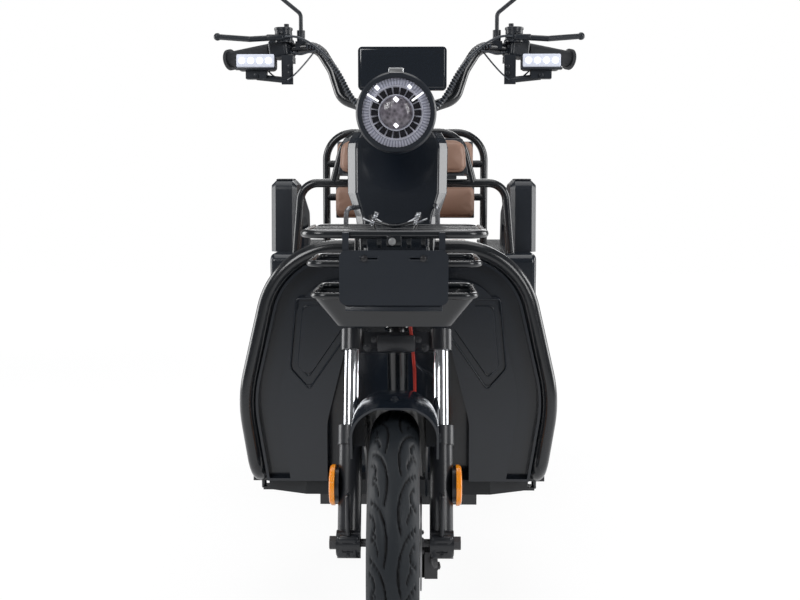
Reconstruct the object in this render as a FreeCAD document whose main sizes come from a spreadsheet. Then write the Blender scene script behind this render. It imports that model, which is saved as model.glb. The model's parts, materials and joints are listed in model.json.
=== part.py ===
"""Electric cargo tricycle: front fork and wheel, leg shield, driver's seat, rear seat over a load box.

Front points to -Y, up is +Z, the ground is Z = 0 and the middle of the length is Y = 0. Millimetres.
"""
import FreeCAD
import Part
import math
import os
import re
import Sketcher

Vec = FreeCAD.Vector
OUT = "parts"

SIZES = {
    # wheels and their places
    "front_axle_y": -737.1, "wheel_base": 1400, "tyre_radius": 229, "tyre_width": 84, "rim_radius": 155.7,
    "rim_width": 56, "rim_wall": 15, "web_thick": 12, "hub_radius": 34, "hub_length": 62, "axle_radius": 7,
    "spoke_count": 5, "wheel_track": 574, "disc_radius": 80, "disc_thick": 3, "disc_inside": 43,
    "caliper_back": 58, "caliper_drop": 52, "caliper_half_length": 26, "caliper_half_height": 24,
    "caliper_outside": 74, "reflector_radius": 36, "reflector_base_radius": 31, "reflector_base_depth": 7,
    "reflector_depth": 6, "reflector_up": 100,
    # clearances
    "seat_gap": 0.2, "bearing_gap": 0.3, "steer_gap": 0.4, "moving_gap": 6,
    # steering head and fork, lengths measured up the steering axis from the front axle
    "steer_rake": 20, "fork_offset": 45, "leg_offset": 28, "leg_spread": 160.5, "stanchion_radius": 14,
    "leg_radius": 20.5, "leg_cap_radius": 23, "leg_cap_height": 34, "leg_bottom": -26, "leg_top": 204,
    "axle_reach": 106, "axle_nut_radius": 12, "axle_nut_length": 12, "crown_bottom": 340,
    "crown_height": 38, "crown_clamp_radius": 20.5, "crown_bridge_depth": 44, "stem_radius": 15,
    "head_bottom": 386, "head_top": 758, "head_radius": 23, "stem_top": 810,
    # front mudguard
    "guard_radius": 262, "guard_leg_reach": 23.25, "guard_nose_reach": 6.25, "guard_nose_round": 58,
    "guard_round": 34, "guard_nose_back": 8, "guard_wall": 4, "guard_skirt": 96, "guard_front_angle": 16,
    "guard_back_angle": 78,
    # handlebar and what it carries
    "bar_radius": 11, "bar_low_height": 986, "bar_low_back": 328, "bar_foot_half": 52,
    "bar_elbow_half": 110, "bar_elbow_height": 1006, "bar_knee_half": 128, "bar_knee_height": 1062,
    "bar_shoulder_half": 158, "bar_shoulder_height": 1110, "bar_grip_half": 246, "bar_grip_height": 1105,
    "bar_grip_back": 392, "bar_end_half": 352, "bar_end_height": 1091, "bar_end_back": 446,
    "grip_radius": 16, "grip_length": 106, "grip_flange_radius": 21, "clamp_block_width": 74,
    "clamp_block_depth": 40, "clamp_block_height": 40, "perch_length": 44, "perch_size": 38,
    "tank_radius": 17, "tank_height": 26, "knob_radius": 5, "knob_height": 10, "tank_inside": 20,
    "lever_reach": 122, "lever_radius": 5.5, "lever_ball_radius": 7.5, "lever_rise": 27,
    "lever_forward": 38, "mirror_foot_half": 193, "mirror_stem_radius": 4, "mirror_bend_height": 1174,
    "mirror_knee_half": 232, "mirror_knee_height": 1206, "mirror_centre_half": 322,
    "mirror_centre_height": 1276, "mirror_half_width": 62, "mirror_half_height": 38, "mirror_depth": 16,
    "mirror_corner": 26, "mirror_boss_radius": 8, "mirror_boss_height": 26, "lamp_width": 76,
    "lamp_height": 29, "lamp_depth": 34, "lamp_half": 276, "lamp_centre_height": 1075, "lamp_forward": 52,
    "lamp_arm_drop": 62, "lamp_arm_thick": 12, "lamp_bracket_half": 217, "lamp_bracket_width": 22,
    "lamp_plate_thick": 8, "lamp_yoke_half": 20,
    # headlight and display
    "light_radius": 70.5, "light_height": 967, "light_front": 100, "light_depth": 92,
    "light_back_radius": 40, "light_rim": 10, "lens_depth": 14, "light_bracket_width": 54,
    "light_bracket_thick": 5, "cable_radius": 6, "hose_radius": 2.6, "display_width": 170,
    "display_across": 8, "display_post_half": 28, "display_height": 82, "display_thick": 18,
    "display_base": 1021, "display_back": 318,
    # front cover round the steering head
    "cover_half_width": 94, "cover_base": 612, "cover_top": 938, "cover_waist": 908, "cover_front": 74,
    "cover_back": 62, "cover_foot_half": 54, "cover_tuck_height": 783, "cover_tuck_half": 77,
    "cover_full_height": 826, "cover_full_half": 92, "cover_shoulder_half": 82, "cover_bevel": 17,
    "cover_bevel_run": 24, "cover_edge_bend": 7, "cover_rear_bend": 26,
    # carrier in front of the head
    "rack_height": 764, "rack_half_width": 147, "rack_front": -66, "rack_back": 158, "rack_tube": 7,
    "stay_radius": 4, "clip_back": 74, "clip_wire": 3, "ring_bend": 22, "rack_bend": 34,
    "ring_one_height": 716, "ring_one_half": 138, "ring_two_height": 664, "ring_two_half": 132,
    "ring_tube": 5.5, "ring_front": -66, "ring_back": 108, "pan_height": 46, "pan_top_half": 131,
    "pan_foot_half": 96, "pan_wall": 3, "plate_width": 174, "plate_height": 88, "plate_thick": 2.5,
    "plate_base": 652, "plate_forward": -92, "plate_corner": 12, "strap_half": 77, "strap_width": 10,
    # leg shield and guard hoop
    "hoop_tube": 16, "hoop_back": 300, "hoop_top": 718, "hoop_corner_half": 233, "hoop_knee_half": 302,
    "hoop_knee_height": 420, "hoop_foot_half": 277, "hoop_foot_height": 262, "hoop_corner_bend": 150,
    "hoop_knee_bend": 260, "hoop_foot_run": 92, "hoop_foot_bend": 42, "shield_wall": 5, "dish_depth": 26,
    "dish_margin": 46, "arch_half": 140, "arch_top_half": 92, "arch_top": 566, "arch_waist": 375,
    "splash_back": 362, "splash_side": 16, "groove_width": 15, "groove_depth": 3,
    # floor
    "floor_base": 225, "floor_thick": 30, "floor_half": 262, "floor_front": 306, "floor_back": 668,
    # frame
    "rail_half": 142, "rail_width": 30, "rail_height": 24, "rail_front": 318, "rail_back": 1644,
    "down_tube_radius": 20, "cross_width": 34,
    # driver's seat and pedestal
    "pedestal_front": 652, "pedestal_back": 1006, "pedestal_half": 162, "pedestal_top": 600,
    "pedestal_wall": 12, "battery_half": 118, "battery_length": 270, "battery_height": 180,
    "driver_seat_thick": 74, "driver_seat_half": 176, "driver_seat_front": 636, "driver_seat_back": 986,
    "lid_knuckle": 5, "lid_pivot_drop": 6, "lid_pivot_ahead": 7, "seat_round": 26,
    # driver's backrest and grab bar
    "grab_back": 1044, "grab_height": 838, "grab_half": 264, "grab_foot_half": 280, "grab_tube": 11,
    "grab_bend": 46, "arch_foot_half": 180, "arch_peak": 968, "arch_peak_half": 146, "arch_bend": 72,
    "driver_pad_half": 168, "driver_pad_base": 860, "driver_pad_top": 953, "driver_pad_thick": 52,
    "driver_pad_round": 40,
    # rear seat, box and backrest
    "box_front": 1040, "box_back": 1688, "box_half": 226, "box_base": 352, "box_top": 604, "box_wall": 5,
    "box_lip": 20, "rear_seat_thick": 62, "rear_seat_half": 214, "rear_seat_front": 1054,
    "rear_seat_back": 1436, "deck_thick": 12, "back_frame_y": 1500, "back_frame_half": 236,
    "back_frame_top": 985, "back_frame_bend": 82, "back_pad_thick": 56, "back_pad_upper_half": 206,
    "back_pad_upper_base": 852, "back_pad_upper_top": 962, "back_pad_lower_half": 211,
    "back_pad_lower_base": 727, "back_pad_lower_top": 833,
    # side panels and armrests
    "panel_outside": 345, "panel_top": 656, "panel_base": 330, "panel_front": 1008, "panel_back": 1690,
    "panel_skin": 4, "well_radius": 262, "well_inside": 238, "arm_inside": 284, "arm_outside": 352,
    "arm_front": 1104, "arm_top": 845, "arm_rear_top": 757, "arm_rear": 1470, "arm_thick": 62,
    "arm_chamfer": 20,
    # tail
    "tail_light_width": 64, "tail_light_height": 84, "tail_light_depth": 12, "tail_light_base": 512,
    "gate_thick": 14, "gate_hinge_radius": 7, "axle_tube_radius": 26, "motor_radius": 74,
    "motor_length": 150, "drum_radius": 68, "drum_length": 26, "shock_radius": 22, "shock_half": 184,
}

doc = FreeCAD.newDocument("tricycle")
sheet = doc.addObject("Spreadsheet::Sheet", "Sizes")
for row, (alias, number) in enumerate(SIZES.items(), start=1):
    sheet.set(f"A{row}", alias)
    sheet.set(f"B{row}", str(number))
    sheet.setAlias(f"B{row}", alias)
doc.recompute()


def size(alias):
    """The sheet's value of a driving dimension."""
    return float(sheet.get(alias))


def bind(thing, prop, formula):
    """Ties a property to a formula of the sheet's names."""
    named = re.sub(r"[a-z][a-z_]+", lambda m: "Sizes." + m[0] if m[0] in SIZES else m[0], formula)
    thing.setExpression(prop, named)


FRONT_Y = size("front_axle_y")
REAR_Y = FRONT_Y + size("wheel_base")
AXLE_Z = size("tyre_radius")
RAKE = math.radians(size("steer_rake"))
GAP = size("seat_gap")


def back(alias):
    """Y of a place that is measured backwards from the front axle."""
    return FRONT_Y + size(alias)


def steering_place(across=0, ahead=0, up=0):
    """A placement in the steering frame: Z runs up the steering axis, level with the front axle at 0."""
    turn = FreeCAD.Rotation(Vec(1, 0, 0), -math.degrees(RAKE))
    offset = size("fork_offset")
    origin = Vec(0, FRONT_Y + offset * math.cos(RAKE), AXLE_Z - offset * math.sin(RAKE))
    return FreeCAD.Placement(origin + turn.multVec(Vec(across, -ahead, up)), turn)


def across_place(x, y, z):
    """A placement whose Z runs along the vehicle's +X."""
    return FreeCAD.Placement(Vec(x, y, z), FreeCAD.Rotation(Vec(0, 1, 0), 90))


def steering_axis_y(z):
    """Y of the steering axis at a height."""
    low = steering_place().Base
    return low.y + (z - low.z) * math.tan(RAKE)


# ---------------------------------------------------------------- ways of making shapes


def label(thing, name):
    thing.Label = name
    return thing


def outline(body, role, points):
    """A closed sketch on one of the body's own planes, each corner's place tied to the sheet."""
    sketch = body.newObject("Sketcher::SketchObject", body.Name + "Sketch")
    plane = [o for o in body.Origin.OriginFeatures if o.Role == role][0]
    sketch.AttachmentSupport = [(plane, "")]
    sketch.MapMode = "FlatFace"
    count = len(points)
    ring = [Vec(math.cos(2 * math.pi * i / count), math.sin(2 * math.pi * i / count), 0) for i in range(count)]
    for i in range(count):
        sketch.addGeometry(Part.LineSegment(ring[i], ring[(i + 1) % count]), False)
    for i in range(count):
        sketch.addConstraint(Sketcher.Constraint("Coincident", i, 2, (i + 1) % count, 1))
    for i, (across, up) in enumerate(points):
        for kind, formula in (("DistanceX", across), ("DistanceY", up)):
            k = sketch.addConstraint(Sketcher.Constraint(kind, -1, 1, i, 1, 1.0))
            bind(sketch, f"Constraints[{k}]", formula)
    doc.recompute()
    return sketch


def new_body(name, place=None):
    body = label(doc.addObject("PartDesign::Body", name), name)
    if place:
        body.Placement = place
    return body


def padded(name, role, points, depth, place=None, midplane=False):
    """A body made by padding an outline."""
    body = new_body(name, place)
    pad = body.newObject("PartDesign::Pad", name + "Pad")
    pad.Profile = outline(body, role, points)
    pad.Midplane = midplane
    bind(pad, "Length", depth)
    doc.recompute()
    return body


def turned(name, points, place=None):
    """A body turned about its Z: each point is a radius and a height."""
    body = new_body(name, place)
    spin = body.newObject("PartDesign::Revolution", name + "Turn")
    spin.Profile = outline(body, "XZ_Plane", points)
    spin.ReferenceAxis = (spin.Profile[0], ["V_Axis"])
    spin.Angle = 360
    doc.recompute()
    return body


def pocketed(body, role, points, depth, reverse=False, midplane=False):
    """Cuts an outline out of a body."""
    sketch = outline(body, role, points)
    cut = body.newObject("PartDesign::Pocket", body.Name + "Pocket")
    cut.Profile = sketch
    cut.Midplane = midplane
    cut.Reversed = reverse
    bind(cut, "Length", depth)
    before = body.Shape.Volume
    doc.recompute()
    if not body.Shape.Volume < before:
        raise ValueError(f"{body.Label}: the pocket cuts nothing")
    return cut


def rounded(body, radius, wanted, kind="Fillet"):
    """Fillets or chamfers the edges of the body's tip that the test picks."""
    tip = body.Tip
    names = [f"Edge{i + 1}" for i, e in enumerate(tip.Shape.Edges) if wanted(e)]
    feature = body.newObject("PartDesign::" + kind, body.Name + kind)
    feature.Base = (tip, names)
    bind(feature, "Radius" if kind == "Fillet" else "Size", radius)
    doc.recompute()
    return body


def along(direction):
    """A test for straight edges along a direction."""
    def test(edge):
        if edge.Curve.TypeId != "Part::GeomLine":
            return False
        return abs(abs(edge.Curve.Direction.dot(direction)) - 1) < 1e-6
    return test


ALONG_X, ALONG_Y, ALONG_Z = along(Vec(1, 0, 0)), along(Vec(0, 1, 0)), along(Vec(0, 0, 1))


def primitive(kind, name, place, **formulas):
    """A Part primitive with its sizes tied to the sheet."""
    thing = doc.addObject("Part::" + kind, name)
    thing.Placement = place
    for prop, formula in formulas.items():
        bind(thing, prop, formula)
    return thing


def joined(name, things):
    """One object made of several that touch or overlap."""
    fuse = label(doc.addObject("Part::MultiFuse", name), name)
    fuse.Shapes = things
    fuse.Refine = True
    doc.recompute()
    return fuse


def minus(name, base, tool):
    cut = label(doc.addObject("Part::Cut", name), name)
    cut.Base, cut.Tool = base, tool
    doc.recompute()
    return cut


def feature(name, shape):
    """A Part::Feature that holds a shape worked out from the sheet's sizes."""
    thing = label(doc.addObject("Part::Feature", name), name)
    thing.Shape = shape
    return thing


def bent_path(points, bend, closed=False):
    """Straight runs through the points, with a tangent arc of the bend radius at each corner."""
    bends = bend if isinstance(bend, (list, tuple)) else [bend] * len(points)
    count = len(points)
    corners = []
    for i, here in enumerate(points):
        if bends[i] == 0 or (not closed and i in (0, count - 1)):
            corners.append((here, None, here))
            continue
        to_last = (points[i - 1] - here).normalize()
        to_next = (points[(i + 1) % count] - here).normalize()
        turn = math.pi - to_last.getAngle(to_next)
        reach = bends[i] * math.tan(turn / 2)
        towards_centre = (to_last + to_next).normalize()
        middle = here + towards_centre * (bends[i] / math.cos(turn / 2) - bends[i])
        corners.append((here + to_last * reach, middle, here + to_next * reach))
    edges = []
    for i in range(count if closed else count - 1):
        start, _, leave = corners[i]
        arrive = corners[(i + 1) % count][0]
        if corners[i][1] is not None:
            edges.append(Part.Arc(start, corners[i][1], leave).toShape())
        if (arrive - leave).Length > 1e-6:
            edges.append(Part.LineSegment(leave, arrive).toShape())
    return Part.Wire(Part.__sortEdges__(edges))


def rod(points, radius, bend=20, closed=False):
    """A round bar along a bent path: a cylinder for each straight run and a piece of ring for each bend."""
    pieces = []
    for edge in bent_path(points, bend, closed).OrderedEdges:
        start, end = edge.valueAt(edge.FirstParameter), edge.valueAt(edge.LastParameter)
        if edge.Curve.TypeId == "Part::GeomLine":
            pieces.append(bar_between(start, end, radius))
            continue
        disc = Part.Face(Part.Wire(Part.makeCircle(radius, start, edge.tangentAt(edge.FirstParameter))))
        turn = math.degrees(edge.LastParameter - edge.FirstParameter)
        pieces.append(disc.revolve(edge.Curve.Center, edge.Curve.Axis, turn))
    return fused(pieces)


def bar_between(a, b, radius):
    """A straight round bar from one point to another."""
    return Part.makeCylinder(radius, (b - a).Length, a, b - a)


def mirrored_x(shape):
    return shape.mirror(Vec(0, 0, 0), Vec(1, 0, 0))


def both_sides(shape):
    return Part.makeCompound([shape, mirrored_x(shape)])


def box_at(x0, x1, y0, y1, z0, z1):
    return Part.makeBox(x1 - x0, y1 - y0, z1 - z0, Vec(x0, y0, z0))


def fused(shapes):
    return shapes[0].multiFuse(shapes[1:]).removeSplitter()


# ---------------------------------------------------------------- wheels


def tyre(name, x, y):
    """A round-section tyre, flat where it sits on the rim."""
    half, seat = size("tyre_width") / 2, size("rim_radius") + GAP
    middle = AXLE_Z - half
    chord = math.sqrt(half ** 2 - (middle - seat) ** 2)
    ends = [Vec(x + s * chord, y, AXLE_Z + seat) for s in (-1, 1)]
    arc = Part.Arc(ends[0], Vec(x, y, AXLE_Z + middle + half), ends[1]).toShape()
    section = Part.Face(Part.Wire([arc, Part.LineSegment(ends[1], ends[0]).toShape()]))
    feature(name, section.revolve(Vec(x, y, AXLE_Z), Vec(1, 0, 0), 360))


def rim(name, x, y):
    """A cast wheel: barrel, web with windows, and hub."""
    bore = "axle_radius + bearing_gap"
    profile = [
        (bore, "-hub_length / 2"), ("hub_radius", "-hub_length / 2"), ("hub_radius", "-web_thick / 2"),
        ("rim_radius - rim_wall", "-web_thick / 2"), ("rim_radius - rim_wall", "-rim_width / 2"),
        ("rim_radius", "-rim_width / 2"), ("rim_radius", "rim_width / 2"),
        ("rim_radius - rim_wall", "rim_width / 2"), ("rim_radius - rim_wall", "web_thick / 2"),
        ("hub_radius", "web_thick / 2"), ("hub_radius", "hub_length / 2"), (bore, "hub_length / 2"),
    ]
    body = turned(name, profile, across_place(x, y, AXLE_Z))
    inner, outer = "(hub_radius + 12)", "(rim_radius - rim_wall - 10)"
    window = [(inner, f"-{inner} * 0.34"), (outer, f"-{outer} * 0.46"), (outer, f"{outer} * 0.46"),
              (inner, f"{inner} * 0.34")]
    cut = pocketed(body, "XY_Plane", window, "web_thick * 2", midplane=True)
    pattern = body.newObject("PartDesign::PolarPattern", name + "Spokes")
    pattern.Originals = [cut]
    pattern.Axis = (cut.Profile[0], ["N_Axis"])
    pattern.Angle = 360
    bind(pattern, "Occurrences", "spoke_count")
    body.Tip = pattern
    doc.recompute()
    return body


def wheels():
    half = size("wheel_track") / 2
    tyre("front_tyre", 0, FRONT_Y)
    rim("front_rim", 0, FRONT_Y)
    bore, far = "axle_radius + bearing_gap", "disc_inside + disc_thick"
    disc = [(bore, "hub_length / 2 + seat_gap"), ("hub_radius - 10", "hub_length / 2 + seat_gap"),
            ("hub_radius - 10", "disc_inside"), ("disc_radius", "disc_inside"), ("disc_radius", far),
            (bore, far)]
    turned("brake_disc", disc, across_place(0, FRONT_Y, AXLE_Z))
    for side, x in (("left", half), ("right", -half)):
        tyre(f"rear_tyre_{side}", x, REAR_Y)
        rim(f"rear_rim_{side}", x, REAR_Y)


# ---------------------------------------------------------------- fork and steering


def fork():
    """Everything below the handlebar that turns with the steering, apart from the wheel."""
    spread, set_ahead = size("leg_spread") / 2, size("leg_offset")
    tubes = [primitive("Cylinder", f"Stanchion{side}",
                       steering_place(side * spread, set_ahead, size("leg_top") - 60),
                       Radius="stanchion_radius", Height="crown_bottom + crown_height - leg_top + 60")
             for side in (-1, 1)]
    compound = label(doc.addObject("Part::Compound", "fork_tubes"), "fork_tubes")
    compound.Links = tubes

    legs = []
    reach = size("axle_reach")
    for side in (-1, 1):
        x = side * size("leg_spread") / 2
        shaft = primitive("Cylinder", f"LegShaft{side}",
                          steering_place(x, size("leg_offset"), size("leg_bottom")),
                          Radius="leg_radius", Height="leg_top - leg_bottom")
        cap = primitive("Cylinder", f"LegCap{side}",
                        steering_place(x, size("leg_offset"), size("leg_top") - size("leg_cap_height")),
                        Radius="leg_cap_radius", Height="leg_cap_height")
        lug_place = steering_place(x - size("leg_radius"), size("fork_offset"), 0)
        lug_place.Rotation = FreeCAD.Rotation(Vec(0, 1, 0), 90)
        lug = primitive("Cylinder", f"LegLug{side}", lug_place, Radius="leg_radius + 1", Height="2 * leg_radius")
        pad_place = steering_place(x + side * (size("leg_radius") - 2), size("leg_offset"), size("reflector_up"))
        pad_place.Rotation = FreeCAD.Rotation(Vec(0, 1, 0), 90 * side)
        base = primitive("Cylinder", f"ReflectorBase{side}", pad_place, Radius="reflector_base_radius",
                         Height="reflector_base_depth")
        whole = joined(f"Leg{side}", [shaft, cap, lug, base])
        bore = primitive("Cylinder", f"LegBore{side}",
                         steering_place(x, size("leg_offset"), size("leg_top") - 60 - GAP),
                         Radius="stanchion_radius + seat_gap", Height="80")
        drilled = minus(f"LegDrilled{side}", whole, bore)
        eye_place = across_place(x - 40, FRONT_Y, AXLE_Z)
        eye = primitive("Cylinder", f"LegEye{side}", eye_place, Radius="axle_radius + seat_gap", Height="80")
        legs.append(minus(f"LegDone{side}", drilled, eye))
    compound = label(doc.addObject("Part::Compound", "fork_legs"), "fork_legs")
    compound.Links = legs

    rod_part = primitive("Cylinder", "AxleRod", across_place(-reach, FRONT_Y, AXLE_Z), Radius="axle_radius",
                         Height="2 * axle_reach")
    nuts = []
    for side in (-1, 1):
        start = side * (size("leg_spread") / 2 + size("leg_radius") + GAP)
        place = across_place(start if side > 0 else start - size("axle_nut_length"), FRONT_Y, AXLE_Z)
        nuts.append(primitive("Prism", f"AxleNut{side}", place, Circumradius="axle_nut_radius",
                              Height="axle_nut_length"))
    joined("front_axle", [rod_part] + nuts)

    clamps = [primitive("Cylinder", f"CrownClamp{side}",
                        steering_place(side * size("leg_spread") / 2, size("leg_offset"), size("crown_bottom")),
                        Radius="crown_clamp_radius", Height="crown_height") for side in (-1, 1)]
    bridge_place = steering_place(-size("leg_spread") / 2, size("crown_bridge_depth") / 2 + 10,
                                  size("crown_bottom") + 4)
    bridge = primitive("Box", "CrownBridge", bridge_place, Length="leg_spread", Width="crown_bridge_depth",
                       Height="crown_height - 8")
    stem = primitive("Cylinder", "CrownStem", steering_place(0, 0, size("crown_bottom") + 4),
                     Radius="stem_radius", Height="stem_top - crown_bottom - 4")
    solid = joined("CrownSolid", clamps + [bridge, stem])
    bores = [primitive("Cylinder", f"CrownBore{side}",
                       steering_place(side * size("leg_spread") / 2, size("leg_offset"),
                                      size("crown_bottom") - 5),
                       Radius="stanchion_radius + seat_gap", Height="crown_height + 10") for side in (-1, 1)]
    minus("fork_crown", solid, joined("CrownBores", bores))


def mudguard():
    """A trough round the front wheel: a wide nose ahead of the fork legs, and a narrow rear between them."""
    wall, outer, skirt = size("guard_wall"), size("guard_radius"), size("guard_skirt")
    ahead, behind = size("guard_front_angle"), size("guard_back_angle")
    nose_end = ahead + size("guard_nose_back")
    leg = size("leg_spread") / 2

    def swept(half, top, low, corner, start, sweep):
        """A round-cornered section swept about the axle, from an angle ahead of upright backwards."""
        corners = [Vec(-half, 0, low), Vec(-half, 0, top), Vec(half, 0, top), Vec(half, 0, low)]
        edges = bent_path(corners, corner).Edges
        edges.append(Part.LineSegment(corners[3], corners[0]).toShape())
        face = Part.Face(Part.Wire(Part.__sortEdges__(edges)))
        face.Placement = FreeCAD.Placement(Vec(0, FRONT_Y, AXLE_Z), FreeCAD.Rotation(Vec(1, 0, 0), start))
        return face.revolve(Vec(0, FRONT_Y, AXLE_Z), Vec(1, 0, 0), -sweep)

    closing = math.degrees(wall / outer)
    shells = []
    for half, corner, start, sweep, inner_sweep in (
            (leg - size("guard_nose_reach"), size("guard_nose_round"), ahead, nose_end, nose_end - closing),
            (leg - size("guard_leg_reach"), size("guard_round"), ahead, ahead + behind, ahead + behind + 1)):
        shells.append((swept(half, outer, outer - skirt, corner, start, sweep),
                       swept(half - wall, outer - wall, outer - skirt - 5, corner - wall, start + 0.5,
                             inner_sweep + 0.5)))
    solid = shells[0][0].fuse(shells[1][0])
    for _, inside in shells:
        solid = solid.cut(inside)
    feature("front_mudguard", solid.removeSplitter())


def reflectors():
    """Amber side reflectors on the outer face of the fork legs' round bases."""
    out = size("leg_spread") / 2 + size("leg_radius") - 2
    place = steering_place(out, size("leg_offset"), size("reflector_up"))
    disc = Part.makeCylinder(size("reflector_radius"), size("reflector_depth"))
    disc.Placement = FreeCAD.Placement(place.Base + Vec(size("reflector_base_depth") + GAP, 0, 0),
                                       FreeCAD.Rotation(Vec(0, 1, 0), 90))
    feature("fork_reflectors", both_sides(disc))


def caliper():
    """Brake caliper on the left leg, straddling the disc, and its arm."""
    low_y, low_z = back("caliper_back"), AXLE_Z - size("caliper_drop")
    long, high, outside = size("caliper_half_length"), size("caliper_half_height"), size("caliper_outside")
    clear = size("moving_gap") - 1
    disc_x = size("disc_inside")
    inner = disc_x - clear - 10
    block = box_at(inner, outside, low_y - long, low_y + long, low_z - high, low_z + high)
    slot = Part.makeCylinder(size("disc_radius") + clear, size("disc_thick") + 2 * clear,
                             Vec(disc_x - clear, FRONT_Y, AXLE_Z), Vec(1, 0, 0))
    arm = box_at(outside - 12, outside, FRONT_Y + 18, low_y + 10, low_z, AXLE_Z + 40)
    leg = Part.makeCylinder(size("leg_radius") + 1 + GAP, 500)
    leg.Placement = steering_place(size("leg_spread") / 2, size("leg_offset"), -80)
    lug = Part.makeCylinder(size("leg_radius") + 1 + GAP, 60, Vec(50, FRONT_Y, AXLE_Z), Vec(1, 0, 0))
    tidy = block.cut(slot).fuse(arm).cut(leg).cut(lug).cut(slot)
    feature("brake_caliper", max(tidy.removeSplitter().Solids, key=lambda solid: solid.Volume))


# ---------------------------------------------------------------- handlebar


def handlebar_points(side=1):
    low_y = FRONT_Y + size("bar_low_back")
    grip_y = FRONT_Y + size("bar_grip_back")
    return [
        Vec(side * size("bar_foot_half"), low_y, size("bar_low_height")),
        Vec(side * size("bar_elbow_half"), low_y + 8, size("bar_elbow_height")),
        Vec(side * size("bar_knee_half"), low_y + 24, size("bar_knee_height")),
        Vec(side * size("bar_shoulder_half"), low_y + 40, size("bar_shoulder_height")),
        Vec(side * size("bar_grip_half"), grip_y, size("bar_grip_height")),
        Vec(side * size("bar_end_half"), FRONT_Y + size("bar_end_back"), size("bar_end_height")),
    ]


def grip_axis(side=1):
    """Start of the grip, and its direction outwards."""
    points = handlebar_points(side)
    return points[4], (points[5] - points[4]).normalize()


def handlebar():
    right, left = handlebar_points(1), handlebar_points(-1)
    points = list(reversed(left)) + right
    bends = [0, 30, 40, 60, 34, 30, 30, 34, 60, 40, 30, 0]
    bar = rod(points, size("bar_radius"), bends)
    half_w, half_d = size("clamp_block_width") / 2, size("clamp_block_depth") / 2
    low_y, z = FRONT_Y + size("bar_low_back"), size("bar_low_height")
    half_h = size("clamp_block_height") / 2
    block = box_at(-half_w, half_w, low_y - half_d, low_y + half_d, z - half_h, z + half_h)
    block = block.makeFillet(6, block.Edges)
    stem = Part.makeCylinder(size("stem_radius") + GAP, 60)
    stem.Placement = steering_place(0, 0, size("stem_top") - 60 + GAP)
    sleeve = Part.makeCylinder(size("stem_radius") + 6, 22)
    sleeve.Placement = steering_place(0, 0, size("stem_top") - 26)
    feature("handlebar", fused([bar, block, sleeve]).cut(stem))

    start, out = grip_axis()
    sleeve = Part.makeCylinder(size("grip_radius"), size("grip_length"), start + out * 8, out)
    flange = Part.makeCylinder(size("grip_flange_radius"), 7, start + out * (size("grip_length") + 1), out)
    hole = Part.makeCylinder(size("bar_radius") + GAP, 400, start - out * 50, out)
    feature("grips", both_sides(sleeve.fuse(flange).cut(hole).removeSplitter()))
    feature("brake_levers", both_sides(control(1)))


def bar_room(side):
    """What the bar needs inside the pieces that are clamped round it, from its shoulder to its end."""
    radius = size("bar_radius") + GAP + 0.4
    shoulder, grip, end = handlebar_points(side)[3:]
    reach = end + (end - grip).normalize() * 20
    return fused([bar_between(shoulder, grip, radius), Part.makeSphere(radius, grip),
                  bar_between(grip, reach, radius)])


def perch_block(side, grow=0):
    """The switch block round the bar just inside the grip."""
    start, out = grip_axis(side)
    long, half = size("perch_length") + 2 * grow, size("perch_size") / 2 + grow
    block = Part.makeBox(long, 2 * half, 2 * half, Vec(-long + grow, -half, -half))
    block = block.makeFillet(7, block.Edges)
    block.Placement = FreeCAD.Placement(start + out * 6, FreeCAD.Rotation(Vec(1, 0, 0), out))
    return block


def control(side):
    """Switch block and lever perch round the bar just inside the grip, with the brake lever."""
    start, out = grip_axis(side)
    level = Vec(side, 0, 0)
    block = perch_block(side)
    inside, ahead, foot = level * size("tank_inside"), size("lever_forward"), 12
    tank = Part.makeCylinder(size("tank_radius"), size("tank_height"))
    tank.translate(start - inside + Vec(0, 12 - ahead, foot))
    knob = Part.makeCylinder(size("knob_radius"), size("knob_height"))
    knob.translate(start - inside - level * 6 + Vec(0, 12 - ahead, foot + size("tank_height")))
    perch_at = start - inside + Vec(0, -ahead, size("lever_rise") - 6)
    arm = Part.makeBox(30, size("lever_forward") + 8, 12, Vec(-15, 0, -6))
    arm.translate(perch_at + Vec(0, -4, 0))
    lever_root = perch_at + level * 4
    lever_mid = lever_root + level * 60 + Vec(0, -6, -4)
    lever_tip = lever_root + level * (size("lever_reach") + 6) + Vec(0, 22, 4)
    lever = bar_between(lever_root, lever_mid, size("lever_radius")).multiFuse(
        [Part.makeSphere(size("lever_radius"), lever_mid),
         bar_between(lever_mid, lever_tip, size("lever_radius"))])
    ball = Part.makeSphere(size("lever_ball_radius"), lever_tip)
    solid = fused([block, tank, knob, arm, lever, ball])
    return solid.cut(bar_room(side))


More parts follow.
